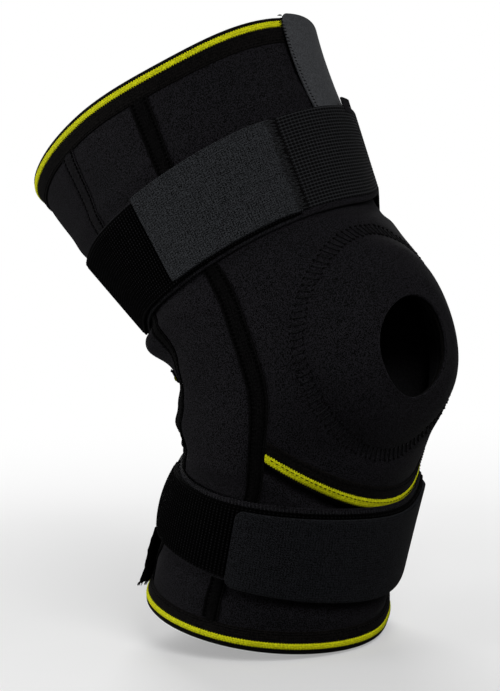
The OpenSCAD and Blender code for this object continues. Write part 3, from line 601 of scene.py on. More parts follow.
def fabric(name, tone, spread, grain, rough=0.9, specular=0.05, sheen=0.02, weave=None, depth=0.12):
    """Cloth of a linear tone; weave is (pitch across, pitch along, share of the pattern)."""
    f = Finish(name, rough, specular, sheen)
    height = f.noise(grain, 3)
    if weave:
        across, along, share = weave
        ridges = f.scaled(f.math("MULTIPLY", f.wave("X", across), f.wave("Y", along)), 0.3, 0.42)
        height = f.math("ADD", f.math("MULTIPLY", ridges, share), f.math("MULTIPLY", height, 1 - share))
    tone = np.array(tone)
    f.colour(height, tone * (1 - spread), tone * (1 + spread))
    f.bump(height, depth)
    return f.material


def ribbed(name, low, high, rib, cross):
    """Elastic: ribs along the strap, and bridges across the grooves between them, which the bump sinks and
    which are painted dark as painted shade.
    """
    f = Finish(name, 0.75, 0.06, 0.02)
    groove_depth_and_shade = f.math("MULTIPLY", f.grooves("Y", rib, 0.32), f.grooves("X", cross, 0.16))
    worn = f.scaled(f.noise(0.6, 3), 1.1, 0.35)
    face = f.math("MULTIPLY", f.math("SUBTRACT", 1.05, groove_depth_and_shade), worn)
    # Painted shade: the colour falls to near black in the grooves between ribs and bridges
    f.colour(face, low, high, (0.25, 0.95))
    f.bump(face, 0.35)
    return f.material


def piled(name, low, high, column, row):
    """Loop pile: worn light columns of tufts on black."""
    f = Finish(name, 1.0, 0.02, 0.01)
    tufts = f.math("MULTIPLY", f.wave("X", column), f.scaled(f.wave("Y", row), 0.8, 0.2))
    worn = f.scaled(f.noise(0.9, 3), 3.0, -0.55)
    face = f.math("MULTIPLY", f.math("POWER", tufts, 2.0), worn)
    f.colour(face, low, high, (0.15, 1.1))
    f.bump(face, 0.3)
    return f.material


def metal(name, tone, rough, size, stretch):
    f = Finish(name, rough, 0.5, 0, 1)
    marks = f.noise(size, 3, stretch)
    f.colour(marks, np.array(tone) * 0.92, np.array(tone) * 1.05)
    f.bump(marks, 0.01)
    return f.material


HOOK = {"rough": 0.85, "specular": 0.06, "weave": (1.35, 1.2, 0.28), "depth": 0.18}
PILE_BLACK = (0.0002,) * 3
NEOPRENE = fabric("neoprene", (0.0068, 0.0064, 0.0077), 0.97, 0.5)
LINING = fabric("lining", (0.005, 0.0048, 0.0054), 0.4, 0.9, weave=(0.8, 0.8, 0.3))
BINDING = fabric("binding", (0.0038, 0.0034, 0.0033), 0.8, 0.7, 0.9, 0.03, weave=(1.0, 1.3, 0.4), depth=0.2)
SOFT_TAPE = fabric("soft_tape", (0.0056, 0.0053, 0.0062), 0.97, 0.5)
TAPE = fabric("tape", (0.0017, 0.0016, 0.0017), 0.97, 0.6, 0.9, 0.03, weave=(1.2, 1.5, 0.3), depth=0.3)
STRIPE = fabric("stripe", (0.56, 0.57, 0.004), 0.34, 0.8, 0.8, 0.1, 0.0, weave=(0.9, 1.0, 0.5), depth=0.15)
# The elastic's near-black low tone is painted shade in its grooves
ELASTIC = ribbed("elastic", (0.0003, 0.0003, 0.0004), (0.029, 0.0302, 0.033), RIB, RIB_BRIDGE)
LOOP = fabric("loop", (0.0018, 0.0016, 0.0018), 0.7, 0.8, 1.0, 0.02, 0.01, depth=0.25)
COLUMN_LOOP = piled("column_loop", PILE_BLACK, (0.0125, 0.0121, 0.0134), UPPER_PILE, 1.6)
DOT_LOOP = piled("dot_loop", PILE_BLACK, (0.0085, 0.0083, 0.0091), *LOWER_PILE)
HOOK_TAB = fabric("hook_tab", (0.0165, 0.0176, 0.0195), 0.97, 0.45, **HOOK)
# Painted shade: the calf strap's tab is the thigh tab's hook cloth, painted darker for the dimmer light low
# on the brace
SHADED_HOOK_TAB = fabric("hook_tab_painted_shade", (0.0074, 0.0078, 0.0092), 0.97, 0.45, **HOOK)
PATCH = fabric("patch", (0.046, 0.048, 0.052), 0.3, 0.7, 0.6, 0.1, depth=0.05)
# Dark thread colour, also used for painted shade: the strip under the tabs' zigzag seams and the ends of the
# kneecap ring's stitches
DARK_THREAD_AND_SHADE = fabric("thread", (0.0012, 0.0011, 0.0012), 0.4, 0.6, 0.8, 0.04, depth=0.02)
TAPE_THREAD = fabric("tape_thread", (0.0003,) * 3, 0.4, 0.6, 1.0, 0.01, depth=0.02)
GREY_THREAD = fabric("grey_thread", (0.006, 0.006, 0.0066), 0.5, 0.6, 0.8, 0.06, depth=0.02)
SEAM_THREAD = fabric("seam_thread", (0.01, 0.0104, 0.0112), 0.5, 0.8, 0.8, 0.06, depth=0.02)
PALE_THREAD = fabric("pale_thread", (0.018, 0.018, 0.020), 0.4, 0.6, 0.8, 0.08, depth=0.02)
FOAM = fabric("foam", (0.006, 0.006, 0.0065), 0.4, 0.9, depth=0.2)
ALLOY = metal("alloy", (0.62, 0.63, 0.66), 0.38, 0.5, (1, 1, 0.05))
STEEL = metal("steel", (0.56, 0.57, 0.59), 0.3, 0.4, (1, 0.06, 1))
NYLON = fabric("nylon", (0.72, 0.72, 0.68), 0.06, 1.0, 0.5, 0.4, depth=0.02)

# Edges of the sleeve's zones, and its four seams
thigh_low, thigh_high = level(THIGH_JOINT + GAP / 2), moved(thigh_edge, -GAP)
knee_low, knee_middle, knee_high = level(CALF_JOINT + GAP / 2), level(0), level(THIGH_JOINT - GAP / 2)
calf_low, calf_high = moved(calf_edge, GAP), level(CALF_JOINT - GAP / 2)
below_hem, above_hem = moved(thigh_edge, -HEM_W - GAP), moved(calf_edge, HEM_W + GAP)
window_top, window_bottom = level(WINDOW_TOP), level(WINDOW_BOTTOM)
SEAMS = [front_seam, rear_seam, lambda s: -front_seam(s), lambda s: -rear_seam(s)]
SIDES = {"lateral": SEAMS[:2], "medial": SEAMS[:1:-1]}


# Sleeve
def between(left, right, inset=SEAM_GAP):
    """Edges that run beside two seams, inset by degrees."""
    return (lambda s: left(s) + inset), (lambda s: right(s) - inset)


FRONT = between(SEAMS[2], SEAMS[0])
BEHIND = between(SEAMS[1], lambda s: 360 - rear_seam(s))


def span(low, high, left, right, cell=CELL):
    """Grid of heights and turns between edges low(phi), high(phi) and seams left(s), right(s)."""
    middle = (low(SIDE) + high(SIDE)) / 2
    width = (right(middle) - left(middle)) * DEG * section(middle)[0]
    rows = max(4, round(abs(high(SIDE) - low(SIDE)) / cell))
    cols = max(4, round(width / cell))
    v, u = np.linspace(0, 1, rows)[:, None], np.linspace(0, 1, cols)
    s = middle
    for _ in range(4):
        phi = lerp(left(s), right(s), u)
        s = lerp(low(phi), high(phi), v)
    return s, phi, u


def panel(name, body, low, high, left, right, thick=PANEL_T, node=None):
    piece = Piece(name, NEOPRENE, LINING)
    s, phi, _ = span(low, high, left, right)
    piece.shell(s, phi, 0, -thick, (0, 1))
    piece.tie(body, "neoprene", node).lay()


def liner(name, node, body, low, high, side):
    """Inner wall of a pocket, which bows inwards round the arms and the hinge."""
    piece = Piece(name, LINING)
    s, phi, u = span(low, high, *between(*SIDES[side], -LINER_OVERLAP), 3)
    deep = lerp(ARM_DEPTH, HINGE_DEPTH, smooth((BEND_HALF - np.abs(s)) / HINGE_SLOPE))
    face = INSIDE - (deep + INSIDE) * (1 - (2 * u - 1) ** 4)
    piece.shell(s, phi, face, face - LINER_T, surface=bare_skin)
    piece.tie(body, "liner", node).lay()


panel("thigh_front_panel", "thigh", thigh_low, thigh_high, *FRONT)
panel("thigh_rear_panel", "thigh", thigh_low, thigh_high, *BEHIND)
panel("calf_rear_panel", "calf", calf_low, calf_high, *BEHIND)
panel("rear_upper_panel", "upper_knee", moved(window_top, GAP), knee_high, *BEHIND)
panel("rear_lower_panel", "lower_knee", knee_low, moved(window_bottom, -GAP), *BEHIND)

# Side pockets: zone of the nodes, name, body or bend, edges of the pocket and of its liner
ZONES = [
    ("thigh", "thigh", "thigh", (thigh_low, thigh_high), (thigh_low, below_hem)),
    ("knee", "knee_upper", "upper_knee", (knee_middle, knee_high), (knee_middle, knee_high)),
    ("knee", "knee_lower", "lower_knee", (knee_low, knee_middle), (knee_low, knee_middle)),
    ("calf", "calf", "calf", (calf_low, calf_high), (above_hem, calf_high)),
]
for zone, name, body, edges, liner_edges in ZONES:
    for side in SIDES:
        seams = between(*SIDES[side])
        panel(f"{name}_{side}_pocket", body, *edges, *seams, POCKET_T, f"{zone}_{side}_pocket")
        liner(f"{name}_{side}_liner", f"{zone}_{side}_liner", body, *liner_edges, side)

# The calf's front panel runs on up behind the kneecap panel's lower edge
piece = Piece("calf_front_panel", NEOPRENE, LINING)
s, phi, _ = span(calf_low, moved(mid_edge, TUCK), *FRONT)
sunk = smooth((s - mid_edge(phi) + HEM_T + TUCK_FROM) / TUCK_SLOPE)
piece.shell(s, phi, -(PANEL_T + TUCK_FACE) * sunk, -PANEL_T - TUCK_BACK * sunk, (0, 1))
piece.tie("lower_knee", "neoprene").lay()

# Kneecap panel: rings from the opening's rolled rim out to the seams and the lower binding
CLOCK = np.linspace(0, 360, 360, endpoint=False)
FAR = 140.0


def panel_reach(t):
    """Radius at which the kneecap panel ends, found by halving."""
    near, far = opening_radius(t), np.full_like(t, FAR)
    for _ in range(40):
        r = (near + far) / 2
        s, phi = kneecap_place(r, t)
        inside = (s < knee_high(phi)) & (s > mid_edge(phi) + GAP)
        inside &= np.abs(phi) < front_seam(s) - SEAM_GAP
        near, far = np.where(inside, r, near), np.where(inside, far, r)
    return near


def rim_half(from_rim):
    """Half the thickness of the kneecap panel at a distance from its rim."""
    return lerp(RIM, PANEL_T / 2, smooth(from_rim / RIM_SLOPE))


rim = opening_radius(CLOCK)
rolled = RIM * (1 - np.cos(np.linspace(0, 90, 7) * DEG))[:, None] + 0 * rim
outwards = RIM + np.linspace(0, 1, 66)[1:, None] * (panel_reach(CLOCK) - rim - RIM)
from_rim = np.concatenate([rolled, outwards])
s, phi = kneecap_place(rim + from_rim, CLOCK)
half = rim_half(from_rim)
round_off = half - cut(half, from_rim)
piece = Piece("knee_front_panel", NEOPRENE, LINING, DARK_THREAD_AND_SHADE, GREY_THREAD)
piece.shell(s, phi, -half + round_off, -half - round_off, (0, 1), wrap=True)

# Sewn ring: slanting threads, with a short dark thread at each end as painted shade of the needle holes
t = even(lambda t: skin(*kneecap_place(ring_radius(t), t), 0), 0, 360, RING_PITCH)[:-1]
step = 360 / len(t)
slant = step * drawn(0.35, 0.65, len(t))
half = RING_W / 2 * drawn(0.85, 1.15, len(t))
near = kneecap_place(ring_radius(t) - half, t - slant / 2)
far = kneecap_place(ring_radius(t) + half, t + slant / 2)
piece.stitches(*zip(near, far), (0.1, 0.1), RING_STITCH_R, 3)
# Painted shade: dark blobs at both ends of each stitch stand for the shade in its needle holes
for side in (-1, 1):
    at = t + side * slant / 2
    long = step * drawn(0.3, 0.5, len(t))
    reach = ring_radius(at) + side * half
    near, far = kneecap_place(reach - 0.5, at - long / 2), kneecap_place(reach + 0.5, at + long / 2)
    piece.stitches(*zip(near, far), (0.05, 0.05), RING_HOLE_SHADE_R, 2)
piece.tie("upper_knee", "neoprene")

piece = Piece("kneecap_binding", BINDING)
from_rim = np.array([0.3, 0.8, 2, 4, 6])[:, None]
s, phi = kneecap_place(rim + from_rim, CLOCK)
sunk = -2 * rim_half(from_rim) - GAP
piece.shell(s, phi, sunk, sunk - HEM_T, wrap=True)
piece.tie("upper_knee", "binding")

piece = Piece("kneecap_buttress", FOAM)
inner_r = OPENING_R + FOAM_MARGIN
r = lerp(inner_r, FOAM_R, np.linspace(0, 1, 15))[:, None]
s, phi = kneecap_place(r, CLOCK)
swell = smooth(np.minimum((r - inner_r) / FOAM_SLOPES[0], (FOAM_R - r) / FOAM_SLOPES[1]))
foam_face = INSIDE - FOAM_EDGE * (1 - swell)
piece.shell(s, phi, foam_face, INSIDE - 2 * FOAM_EDGE - FOAM_T * swell, wrap=True)
piece.tie("upper_knee", "foam").obj


def fold(width):
    """Binding folded over an edge: (beyond the edge, height) along its outside and its inside."""
    outside = [
        (-width, 0.65), (0.3 - width, 1.0), (1.4 - width, 1.0), (3 - width, 1.15), (-4, 1.15),
        (-1.8, 1.1), (-0.5, 0.7), (0.35, -0.3), (0.75, -2), (0.35, -3.7), (-0.8, -4.7), (-2, -5.05),
        (0.2 - width, -5), (-width, -4.8)
    ]
    inside = [
        (-width, 0.2), (0.2 - width, 0.2), (1.4 - width, 0.2), (3 - width, 0.2), (-4, 0.2),
        (-1.8, 0.2), (-0.6, 0), (-0.2, -0.6), (-0.1, -2), (-0.2, -3.4), (-0.7, -4), (-2, -4.2),
        (0.2 - width, -4.2), (-width, -4.3)
    ]
    return np.array(outside), np.array(inside)


def along_edge(edge, left, right, pitch):
    """Turns along an edge, turns of its columns, and whether it runs all round."""
    turns = even(lambda p: skin(edge(p), p, 0), left, right, pitch)
    wrap = right - left == 360
    return turns, turns[:-1] if wrap else turns, wrap


def hem(name, body, edge, up, left=0, right=360, width=HEM_W):
    """Binding of an edge that faces up (1) or down (-1) the limb, with a row of stitches."""
    piece = Piece(name, BINDING, DARK_THREAD_AND_SHADE)
    turns, phi, wrap = along_edge(edge, left, right, HEM_PITCH)
    lines = [line[::up] for line in fold(width)]
    piece.sheet(*(skin(edge(phi) + up * line[:, :1], phi, line[:, 1:]) for line in lines), wrap=wrap)
    at, to = turns[:-1], lerp(turns[:-1], turns[1:], 0.75)
    inset = up * (HEM_STITCH - width)
    piece.stitches([edge(at) + inset, edge(to) + inset], [at, to], [1.1, 1.1], HEM_STITCH_R)
    piece.tie(body, "binding")


def stripe(
    name, body, edge, up, left=0, right=360, width=STRIPE_W, set_in=STRIPE_INSET, dashes=False, node=None
):
    """Bright woven stripe with toothed edges, set in from the edge of a binding."""
    piece = Piece(name, STRIPE, DARK_THREAD_AND_SHADE)
    turns, phi, wrap = along_edge(edge, left, right, STRIPE_TOOTH)
    teeth = 0.3 * np.where(np.arange(phi.size) % 2, 1, -1)
    inner = HEM_T - set_in
    across = np.array([0, 0.25, 0.4 * width, 0.75 * width, width - 0.25, width])[:, None]
    height = np.array([1.15, 1.45, 1.55, 1.55, 1.45, 1.15])[:, None]
    ends = np.array([1, 0.6, 0, 0, -0.6, -1])[:, None]
    from_edge = inner - width + across + ends * teeth
    s = edge(phi) + (from_edge if up > 0 else -from_edge[::-1])
    piece.shell(s, phi, height, 0.8, wrap=wrap)
    if dashes:
        at = turns[:-4:4]
        to = at + (turns[1] - turns[0]) * 2.2
        inset = -up * (width * 0.7 - inner)
        piece.stitches([edge(at) + inset, edge(to) + inset], [at, to], [1.62, 1.62], DASH_R)
    piece.tie(body, "stripe", node)


MID_TURN = POCKET_FRONT - 4
MID = (mid_edge, -1, -MID_TURN, MID_TURN)
REAR_TURN = rear_seam(WINDOW_BOTTOM - HEM_W) + LINER_OVERLAP + 2 * SEAM_GAP
REAR = (REAR_TURN, 360 - REAR_TURN)
LOWER_REAR = (REAR_TURN + 5, 360 - REAR_TURN - 5)
hem("thigh_hem", "thigh", thigh_edge, 1, width=HEM_W + 1)
stripe("thigh_hem_stripe", "thigh", thigh_edge, 1)
hem("calf_hem", "calf", calf_edge, -1)
stripe("calf_hem_stripe", "calf", calf_edge, -1, set_in=STRIPE_INSET + 0.7)
hem("mid_hem", "upper_knee", *MID, HEM_W - 2)
stripe("mid_hem_stripe", "upper_knee", *MID, STRIPE_W + 0.5, 1.6, True)
hem("rear_upper_hem", "upper_knee", window_top, -1, *REAR)
hem("rear_lower_hem", "lower_knee", window_bottom, 1, *REAR)
stripe("rear_upper_stripe", "upper_knee", window_top, -1, *REAR, node="rear_hem_stripes")
stripe("rear_lower_stripe", "lower_knee", window_bottom, 1, *LOWER_REAR, node="rear_hem_stripes")

# Tapes over the seams: half their section from the middle out, and places of two rows of stitches
TAPE_HALF = np.array([
    (0, 1.05), (0.7, 1.0), (1.6, 0.9), (3, 0.75), (3.6, 0.25), (4.2, 0.75), (4.8, 0.7), (5, 0.3)
])
TAPE_X, TAPE_TOP = mirrored(TAPE_HALF[:, 0], -1), mirrored(TAPE_HALF[:, 1], 1)
TAPE_ROWS = (-3.4, 3.0)


def crossing(edge, seam, s):
    """Height at which an edge crosses a seam, from a height near it."""
    for _ in range(2):
        s = edge(seam(s))
    return s


def tapes(name, body, low, high, rear=TAPE, node=None):
    piece = Piece(name, TAPE, TAPE_THREAD, rear)
    middle = (low(POCKET_REAR) + high(POCKET_REAR)) / 2
    for i, turn in enumerate(SEAMS):
        ends = (crossing(edge, turn, middle) for edge in (low, high))
        s = even(lambda s: skin(s, turn(s), 0), *ends, TAPE_PITCH)
        rows = s[:, None]
        piece.shell(rows, turn(rows) + degrees_for(TAPE_X, rows), TAPE_TOP, 0.05, (2 * (i % 2),) * 2)
        at, to = s[:-1], lerp(s[:-1], s[1:], 0.9)
        for x in TAPE_ROWS:
            turns = [turn(at) + degrees_for(x, at), turn(to) + degrees_for(x, to)]
            piece.stitches([at, to], turns, [0.4, 0.4], TAPE_STITCH_R)
    piece.tie(body, "binding", node)


tapes("thigh_seam_tapes", "thigh", thigh_low, below_hem, SOFT_TAPE)
tapes("knee_upper_seam_tapes", "upper_knee", knee_middle, knee_high, node="knee_seam_tapes")
tapes("knee_lower_seam_tapes", "lower_knee", knee_low, knee_middle, node="knee_seam_tapes")
tapes("calf_seam_tapes", "calf", above_hem, calf_high)

# Smooth front patch, overlocked along its outer edge
hem_foot = thigh_edge(PATCH_TURNS[0]) - THIGH_HEM_RISE - HEM_W
over_hem = 3 * GAP + HEM_T + STRIPE_T


def patch_under(s):
    climb = smooth((s - hem_foot) / PATCH_CLIMB + 1)
    return PATCH_RISE + lerp(GAP, over_hem - PATCH_RISE, climb)


def patch_side(s):
    """Turn of the patch's outer edge, which runs inwards below the hem."""
    below = np.clip(THIGH_LENGTH - SWEEP_FROM - s, 0, SWEEP_END)
    return PATCH_TURNS[1] - PATCH_SWEEP * (below / SWEEP_LENGTH) ** 2


piece = Piece("front_patch", PATCH, DARK_THREAD_AND_SHADE)
v, u = np.linspace(0, 1, 50)[:, None], np.linspace(0, 1, 50)
s = lerp(PATCH_FOOT, THIGH_LENGTH, v)
phi = lerp(PATCH_TURNS[0], patch_side(s), u)
from_side = np.minimum(phi - PATCH_TURNS[0], patch_side(s) - phi) * DEG * FRONT_R
s = lerp(PATCH_FOOT, thigh_edge(phi) + HEM_T - cut(PATCH_CORNER, from_side), v)
piece.shell(s, phi, patch_under(s) + PATCH_T, patch_under(s), surface=calm_skin)
s = even(lambda s: skin(s, patch_side(s), 0), THIGH_JOINT + 34, THIGH_LENGTH - 5, PATCH_PITCH)
reach = drawn(0.9, 1.7, len(s))
edge, under = patch_side(s), patch_under(s)
turns = [edge - reach / FRONT_R / DEG, edge + 0.9]
piece.stitches([s, s + 0.6], turns, [under + PATCH_T, under + 0.1], PATCH_STITCH_R, 1, calm_skin)
piece.tie("thigh", "patch").lay("laid", "thigh_front_panel_cloth", 0.96)


# Pile patch, frayed along its lower edge
def patch_lift(turn):
    """The patch's outer edge stands off the calf."""
    return REAR_LIFT * smooth((REAR_PATCH[0] + LIFT_REACH - turn) / LIFT_REACH)


def patch_foot(turn):
    """Height of the patch's lower edge, whose outer corner hangs down over the hem."""
    drop = smooth((REAR_PATCH[0] + DROP_REACH - turn) / DROP_SLOPE)
    return calf_edge(turn) + HEM_W + 1 - REAR_DROP * drop


piece = Piece("calf_rear_patch", LOOP, DARK_THREAD_AND_SHADE)
phi = np.linspace(*REAR_PATCH, 60)
s = lerp(patch_foot(phi), lower_line(phi) - LOWER_W / 2 - 1, np.linspace(0, 1, 16)[:, None])
under = GAP + patch_lift(phi)
piece.shell(s, phi, under + REAR_PATCH_T - PILE_RISE + drawn(0, PILE_RISE, s.shape), under)
turns = lerp(*REAR_PATCH, rng.random(FRAYS) ** 1.6)
foot, lift = patch_foot(turns) + 0.5, patch_lift(turns)
ends = foot - drawn(0.5, 3, FRAYS)
end_turns = turns + drawn(-1.8, 1.2, FRAYS)
end_lift = lift + drawn(1.4, 2.2, FRAYS)
piece.stitches([foot, ends], [turns, end_turns], [lift + 1.2, end_lift], FRAY_R)
piece.tie("calf", "loop").lay("laid", "calf_rear_panel_cloth", 0.96)


# Straps
class Strap:
    """A strap's middle line, the surface it lies on, its sizes and the turns of its tab."""

    def __init__(self, kind, body, line, surface, width, base, lip, tab):
        self.name, self.tab_body, self.body = f"{kind}_strap", f"{kind}_tab", body
        self.line, self.surface, self.width, self.half = line, surface, width, width / 2
        self.base, self.top, self.lip, self.tab = base, base + STRAP_T, lip, tab

    def turns(self, left, right, pitch):
        return even(lambda p: self.surface(self.line(p), p, 0), left, right, pitch)


def ridge(x, pitch):
    """Rounded ridges at a pitch, from 0 in the grooves to 1."""
    return np.abs(np.sin(math.pi * x / pitch)) ** 0.6


def rounded(across, half, depth=0.35, edge=0.5):
    """Drop of a strap's face towards its edges."""
    return depth * np.clip((np.abs(across) - half + edge) / edge, 0, 1) ** 2


def strap_under(strap, thread):
    """Smooth layer of a strap all round the limb, under its elastic."""
    piece = Piece(f"{strap.name}_under", NEOPRENE, thread)
    half = strap.half
    turns = strap.turns(0, 360, 2.4)[:-1]
    across = mirrored(np.array([0, half / 2, half - 0.6, half - 0.25, half]), -1)[:, None]
    top = strap.base + 0.9 - rounded(across, half)
    return piece.shell(strap.line(turns) + across, turns, top, strap.base, wrap=True, surface=strap.surface)


def overlock(piece, strap, turns, side, inset, slant, drop, radius):
    """Threads round a strap's upper (1) or lower (-1) edge."""
    edge = strap.line(turns) + side * strap.half
    heights = [strap.base + 1.1, strap.base + drop]
    ends = [edge - side * inset, edge + side * 0.3]
    piece.stitches(ends, [turns, turns + slant], heights, radius, 1, strap.surface)


def strap_elastic(strap):
    """Ribbed elastic from the pad's far end round to just under the tab's root."""
    piece = Piece(f"{strap.name}_band", ELASTIC)
    ribs = int((strap.width - strap.lip) / RIB + 0.1)
    over = np.linspace(0, ribs * RIB, ribs * 6 + 1)[:, None]
    turns = strap.turns(PAD_END - 360, strap.tab[0] + 3, 1.4)
    top = strap.top - RIB_RISE * np.cos(math.pi * over / RIB) ** 2
    s = strap.line(turns) - strap.half + strap.lip + over
    run = run_along(strap.surface(strap.line(turns), turns, 0))
    ruler = np.stack(np.broadcast_arrays(run, over * MM, 0), -1)
    return piece.sheet(strap.surface(s, turns, top), strap.surface(s, turns, strap.base + 0.95), ruler=ruler)


def lay_band(strap, under):
    """Places a strap's under layer on the sleeve and its elastic on that."""
    panels = (f"{strap.body}_front_panel_cloth", f"{strap.body}_rear_panel_cloth")
    for piece, rests_on in ((under, panels), (strap_elastic(strap), f"{strap.name}_under_cloth")):
        piece.tie(strap.body, "strap_elastic", f"{strap.name}_band").lay("stretched", rests_on, 1.0)


def loop_pad(piece, strap, inset, left, right, column, row=None):
    """Pile in columns or dots, with a smooth selvage along both edges."""
    half, base = strap.half - inset, strap.top + GAP
    turns = strap.turns(left, right, column / 4)
    edge = half - np.array([0, 0.2, 1.5, 1.7])
    rows = round(8 * half / row) if row else 13
    across = np.concatenate([-edge, np.linspace(-half + 2, half - 2, rows), edge[::-1]])[:, None]
    run = np.linspace(0, column * (turns.size - 1) / 4, turns.size)
    tufts = ridge(run, column) * (0.55 + 0.45 * ridge(across + half, row) if row else 1)
    smooth_edge = -0.25 - rounded(across, half, 0.4, 0.3)
    top = base + PAD_T + np.where(np.abs(across) > half - SELVAGE, smooth_edge, PILE_RISE * (tufts - 1))
    ruler = np.stack(np.broadcast_arrays(run * MM, (across + half) * MM, 0), -1)
    s = strap.line(turns) + across
    piece.sheet(strap.surface(s, turns, top), strap.surface(s, turns, base - 0.5), ruler=ruler)


def lay_pad(strap, piece):
    piece.tie(strap.body, "loop").lay("laid", f"{strap.name}_band_cloth", 1.0)


def strap_tab(strap, width, shift, round_by, finish):
    """Tab sewn down at its root, beside which it bends, and free at its round end."""
    surface, half = strap.surface, width / 2
    root, end = strap.tab
    base, seam_top = strap.top + PAD_T + 2 * GAP, strap.top + TAB_SEAM_RISE
    line = moved(strap.line, shift)
    piece = Piece(f"{strap.name}_tab", finish, LOOP, DARK_THREAD_AND_SHADE, SEAM_THREAD)
    turns = even(lambda p: surface(line(p), p, 0), root, end, 1.6)
    tip = end - (end - turns[-5]) * (1 - np.sin(np.linspace(0, 90, 12) * DEG))
    phi = np.sort(np.concatenate([turns[:-4], tip]))
    to_end = (end - phi) * DEG * section(line(phi))[..., 0]
    reach = half - cut(round_by, to_end)
    share = mirrored(np.array([0, 0.2, 0.4, 0.6, 0.8, 0.95, 0.975, 0.99, 1]), -1)
    across = share[:, None] * reach
    sewn = 1 - smooth((phi - root) / TAB_SLOPE)
    top = lerp(base + TAB_T, seam_top + 1.0, sewn) - rounded(across, reach, 0.5, 0.7)
    bottom = lerp(base, seam_top, sewn)
    piece.shell(line(phi) + across, phi, top, bottom, (0, 1), surface=surface)
    seam = degrees_for(TAB_SEAM / 2, line(root))
    # Painted shade: a dark strip in thread colour under the zigzag seam stands for the shade between its
    # threads
    under = root + seam * np.linspace(-1.15, 0.3, 6)
    over = np.linspace(-half + 0.4, half - 0.4, 40)[:, None]
    piece.shell(line(under) + over, under, seam_top + 0.35, seam_top, (2, 2), surface=surface)
    count = 2 * round(width / TAB_SEAM_PITCH)
    for radius, spread in ((0.45, 0.5), (0.32, 0.9)):
        over = np.linspace(-half + 0.8, half - 0.8, count) + drawn(-0.25, 0.25, count)
        side = np.where(np.arange(count) % 2, 1, -1) * drawn(1.1, 1.1 - spread, count)
        spot = root + seam * side
        off = seam_top + np.where(side > 0, 1.15, 0.6)
        ends = [(x[:-1], x[1:]) for x in (line(spot) + over, spot, off)]
        piece.stitches(*ends, radius, 3, surface)
    start, ahead = (Vector(surface(line(at), at, base)) for at in (root + 1.0, root + 3.0))
    bend_end = start + (ahead - start).normalized() * TAB_BEND * MM
    BENDS[piece.name] = (strap.body, strap.tab_body, start, bend_end)
    piece.tie(piece.name, "hook_tab").lay("laid", f"{strap.name}_pad_cloth", 0.97)


UPPER = Strap("upper", "thigh", upper_line, upper_skin, UPPER_W, UPPER_BAND, UPPER_LIP, UPPER_TAB)
LOWER = Strap("lower", "calf", lower_line, lower_skin, LOWER_W, LOWER_BAND, LOWER_LIP, LOWER_TAB)
UPPER_OVERLOCK, LOWER_OVERLOCK = (3.4, 0.9, 0.5, 0.3), (3.2, 1.0, 0.4, 0.24)
UPPER_PAD_INSET, LOWER_PAD_INSET = 1.4, 2
CALF_R = 62

# Thigh strap, with a small tongue of cloth that stands above it at the front patch
piece = strap_under(UPPER, SEAM_THREAD)
turns = UPPER.turns(UPPER_TAB[0] + 2, PAD_END, 1.7)
turns = turns + drawn(-0.2, 0.2, len(turns))
for side in (-1, 1):
    overlock(piece, UPPER, turns, side, *UPPER_OVERLOCK)
tongue = np.linspace(-29, -21, 12)
high = upper_line(tongue) + UPPER.half + np.array([-3, 0, 2.5, 4.6, 4.8])[:, None]
piece.shell(high, tongue, UPPER_BAND + 1.9, UPPER_BAND + 1.0, surface=upper_skin)
lay_band(UPPER, piece)
piece = Piece("upper_strap_pad", COLUMN_LOOP)
loop_pad(piece, UPPER, UPPER_PAD_INSET, UPPER_TAB[0] + 1, PAD_END, UPPER_PILE)
lay_pad(UPPER, piece)
strap_tab(UPPER, UPPER_TAB_W, (UPPER_W - UPPER_TAB_W) / 2, UPPER_TAB_CORNER, HOOK_TAB)

# Calf strap; its pad is dotted where it is seen and plain under the tab
piece = strap_under(LOWER, PALE_THREAD)
overlock(piece, LOWER, LOWER.turns(LOWER_TAB[0], PAD_END, 1.75), 1, *LOWER_OVERLOCK)
lay_band(LOWER, piece)
piece = Piece("lower_strap_pad", DOT_LOOP)
loop_pad(piece, LOWER, LOWER_PAD_INSET, BUMPS_FROM, PAD_END, *LOWER_PILE)
piece.flat = None
loop_pad(piece, LOWER, LOWER_PAD_INSET, LOWER_TAB[0] + 1, BUMPS_FROM, PLAIN_PILE)
piece.flat = (piece.flat[0] + (PAD_END - BUMPS_FROM) * DEG * CALF_R * MM, piece.flat[1])
lay_pad(LOWER, piece)
# Its tab takes the hook cloth painted darker, as painted shade
strap_tab(LOWER, LOWER_TAB_W, -LOWER_TAB_DROP, LOWER_TAB_CORNER, SHADED_HOOK_TAB)

# Hinges keep the frame's shapes
HINGE = [(("arm",), ALLOY, "alloy"), (("plate", "rivets"), STEEL, "steel"), (("washers",), NYLON, "nylon")]
for name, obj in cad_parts.items():
    for endings, finish, slot in HINGE:
        if name.endswith(endings):
            obj.data.materials.clear()
            obj.data.materials.append(finish)

# Floor that fades into a white surround; sizes from here on are in metres
FLOOR_Z = CAD_BOX[0][2] - 0.004
FLOOR_FADE = {"From Min": 0.12, "From Max": 0.75, "To Min": 0.3, "To Max": 1.0}
FLOOR_BOUNCE = (0.12, 0.12, 0.12, 1)
FLOOR_HALF, WORLD_LIGHT = 3.0, 0.16
WHITE = (1, 1, 1, 1)
mesh = bpy.data.meshes.new("floor")
corners = [(x * FLOOR_HALF, y * FLOOR_HALF, FLOOR_Z) for x, y in ((-1, -1), (1, -1), (1, 1), (-1, 1))]
mesh.from_pydata(corners, [], [(0, 1, 2, 3)])
f = Finish("floor", 0.9, 0.1)
f.colour(f.noise(400), (0.8,) * 3, (0.84,) * 3)
where = f.node("TexCoord", out="Object")
distance = f.node("VectorMath", {"operation": "LENGTH"}, "Value", i0=where)
fade = f.node("MapRange", {"interpolation_type": "SMOOTHSTEP"}, Value=distance, **FLOOR_FADE)
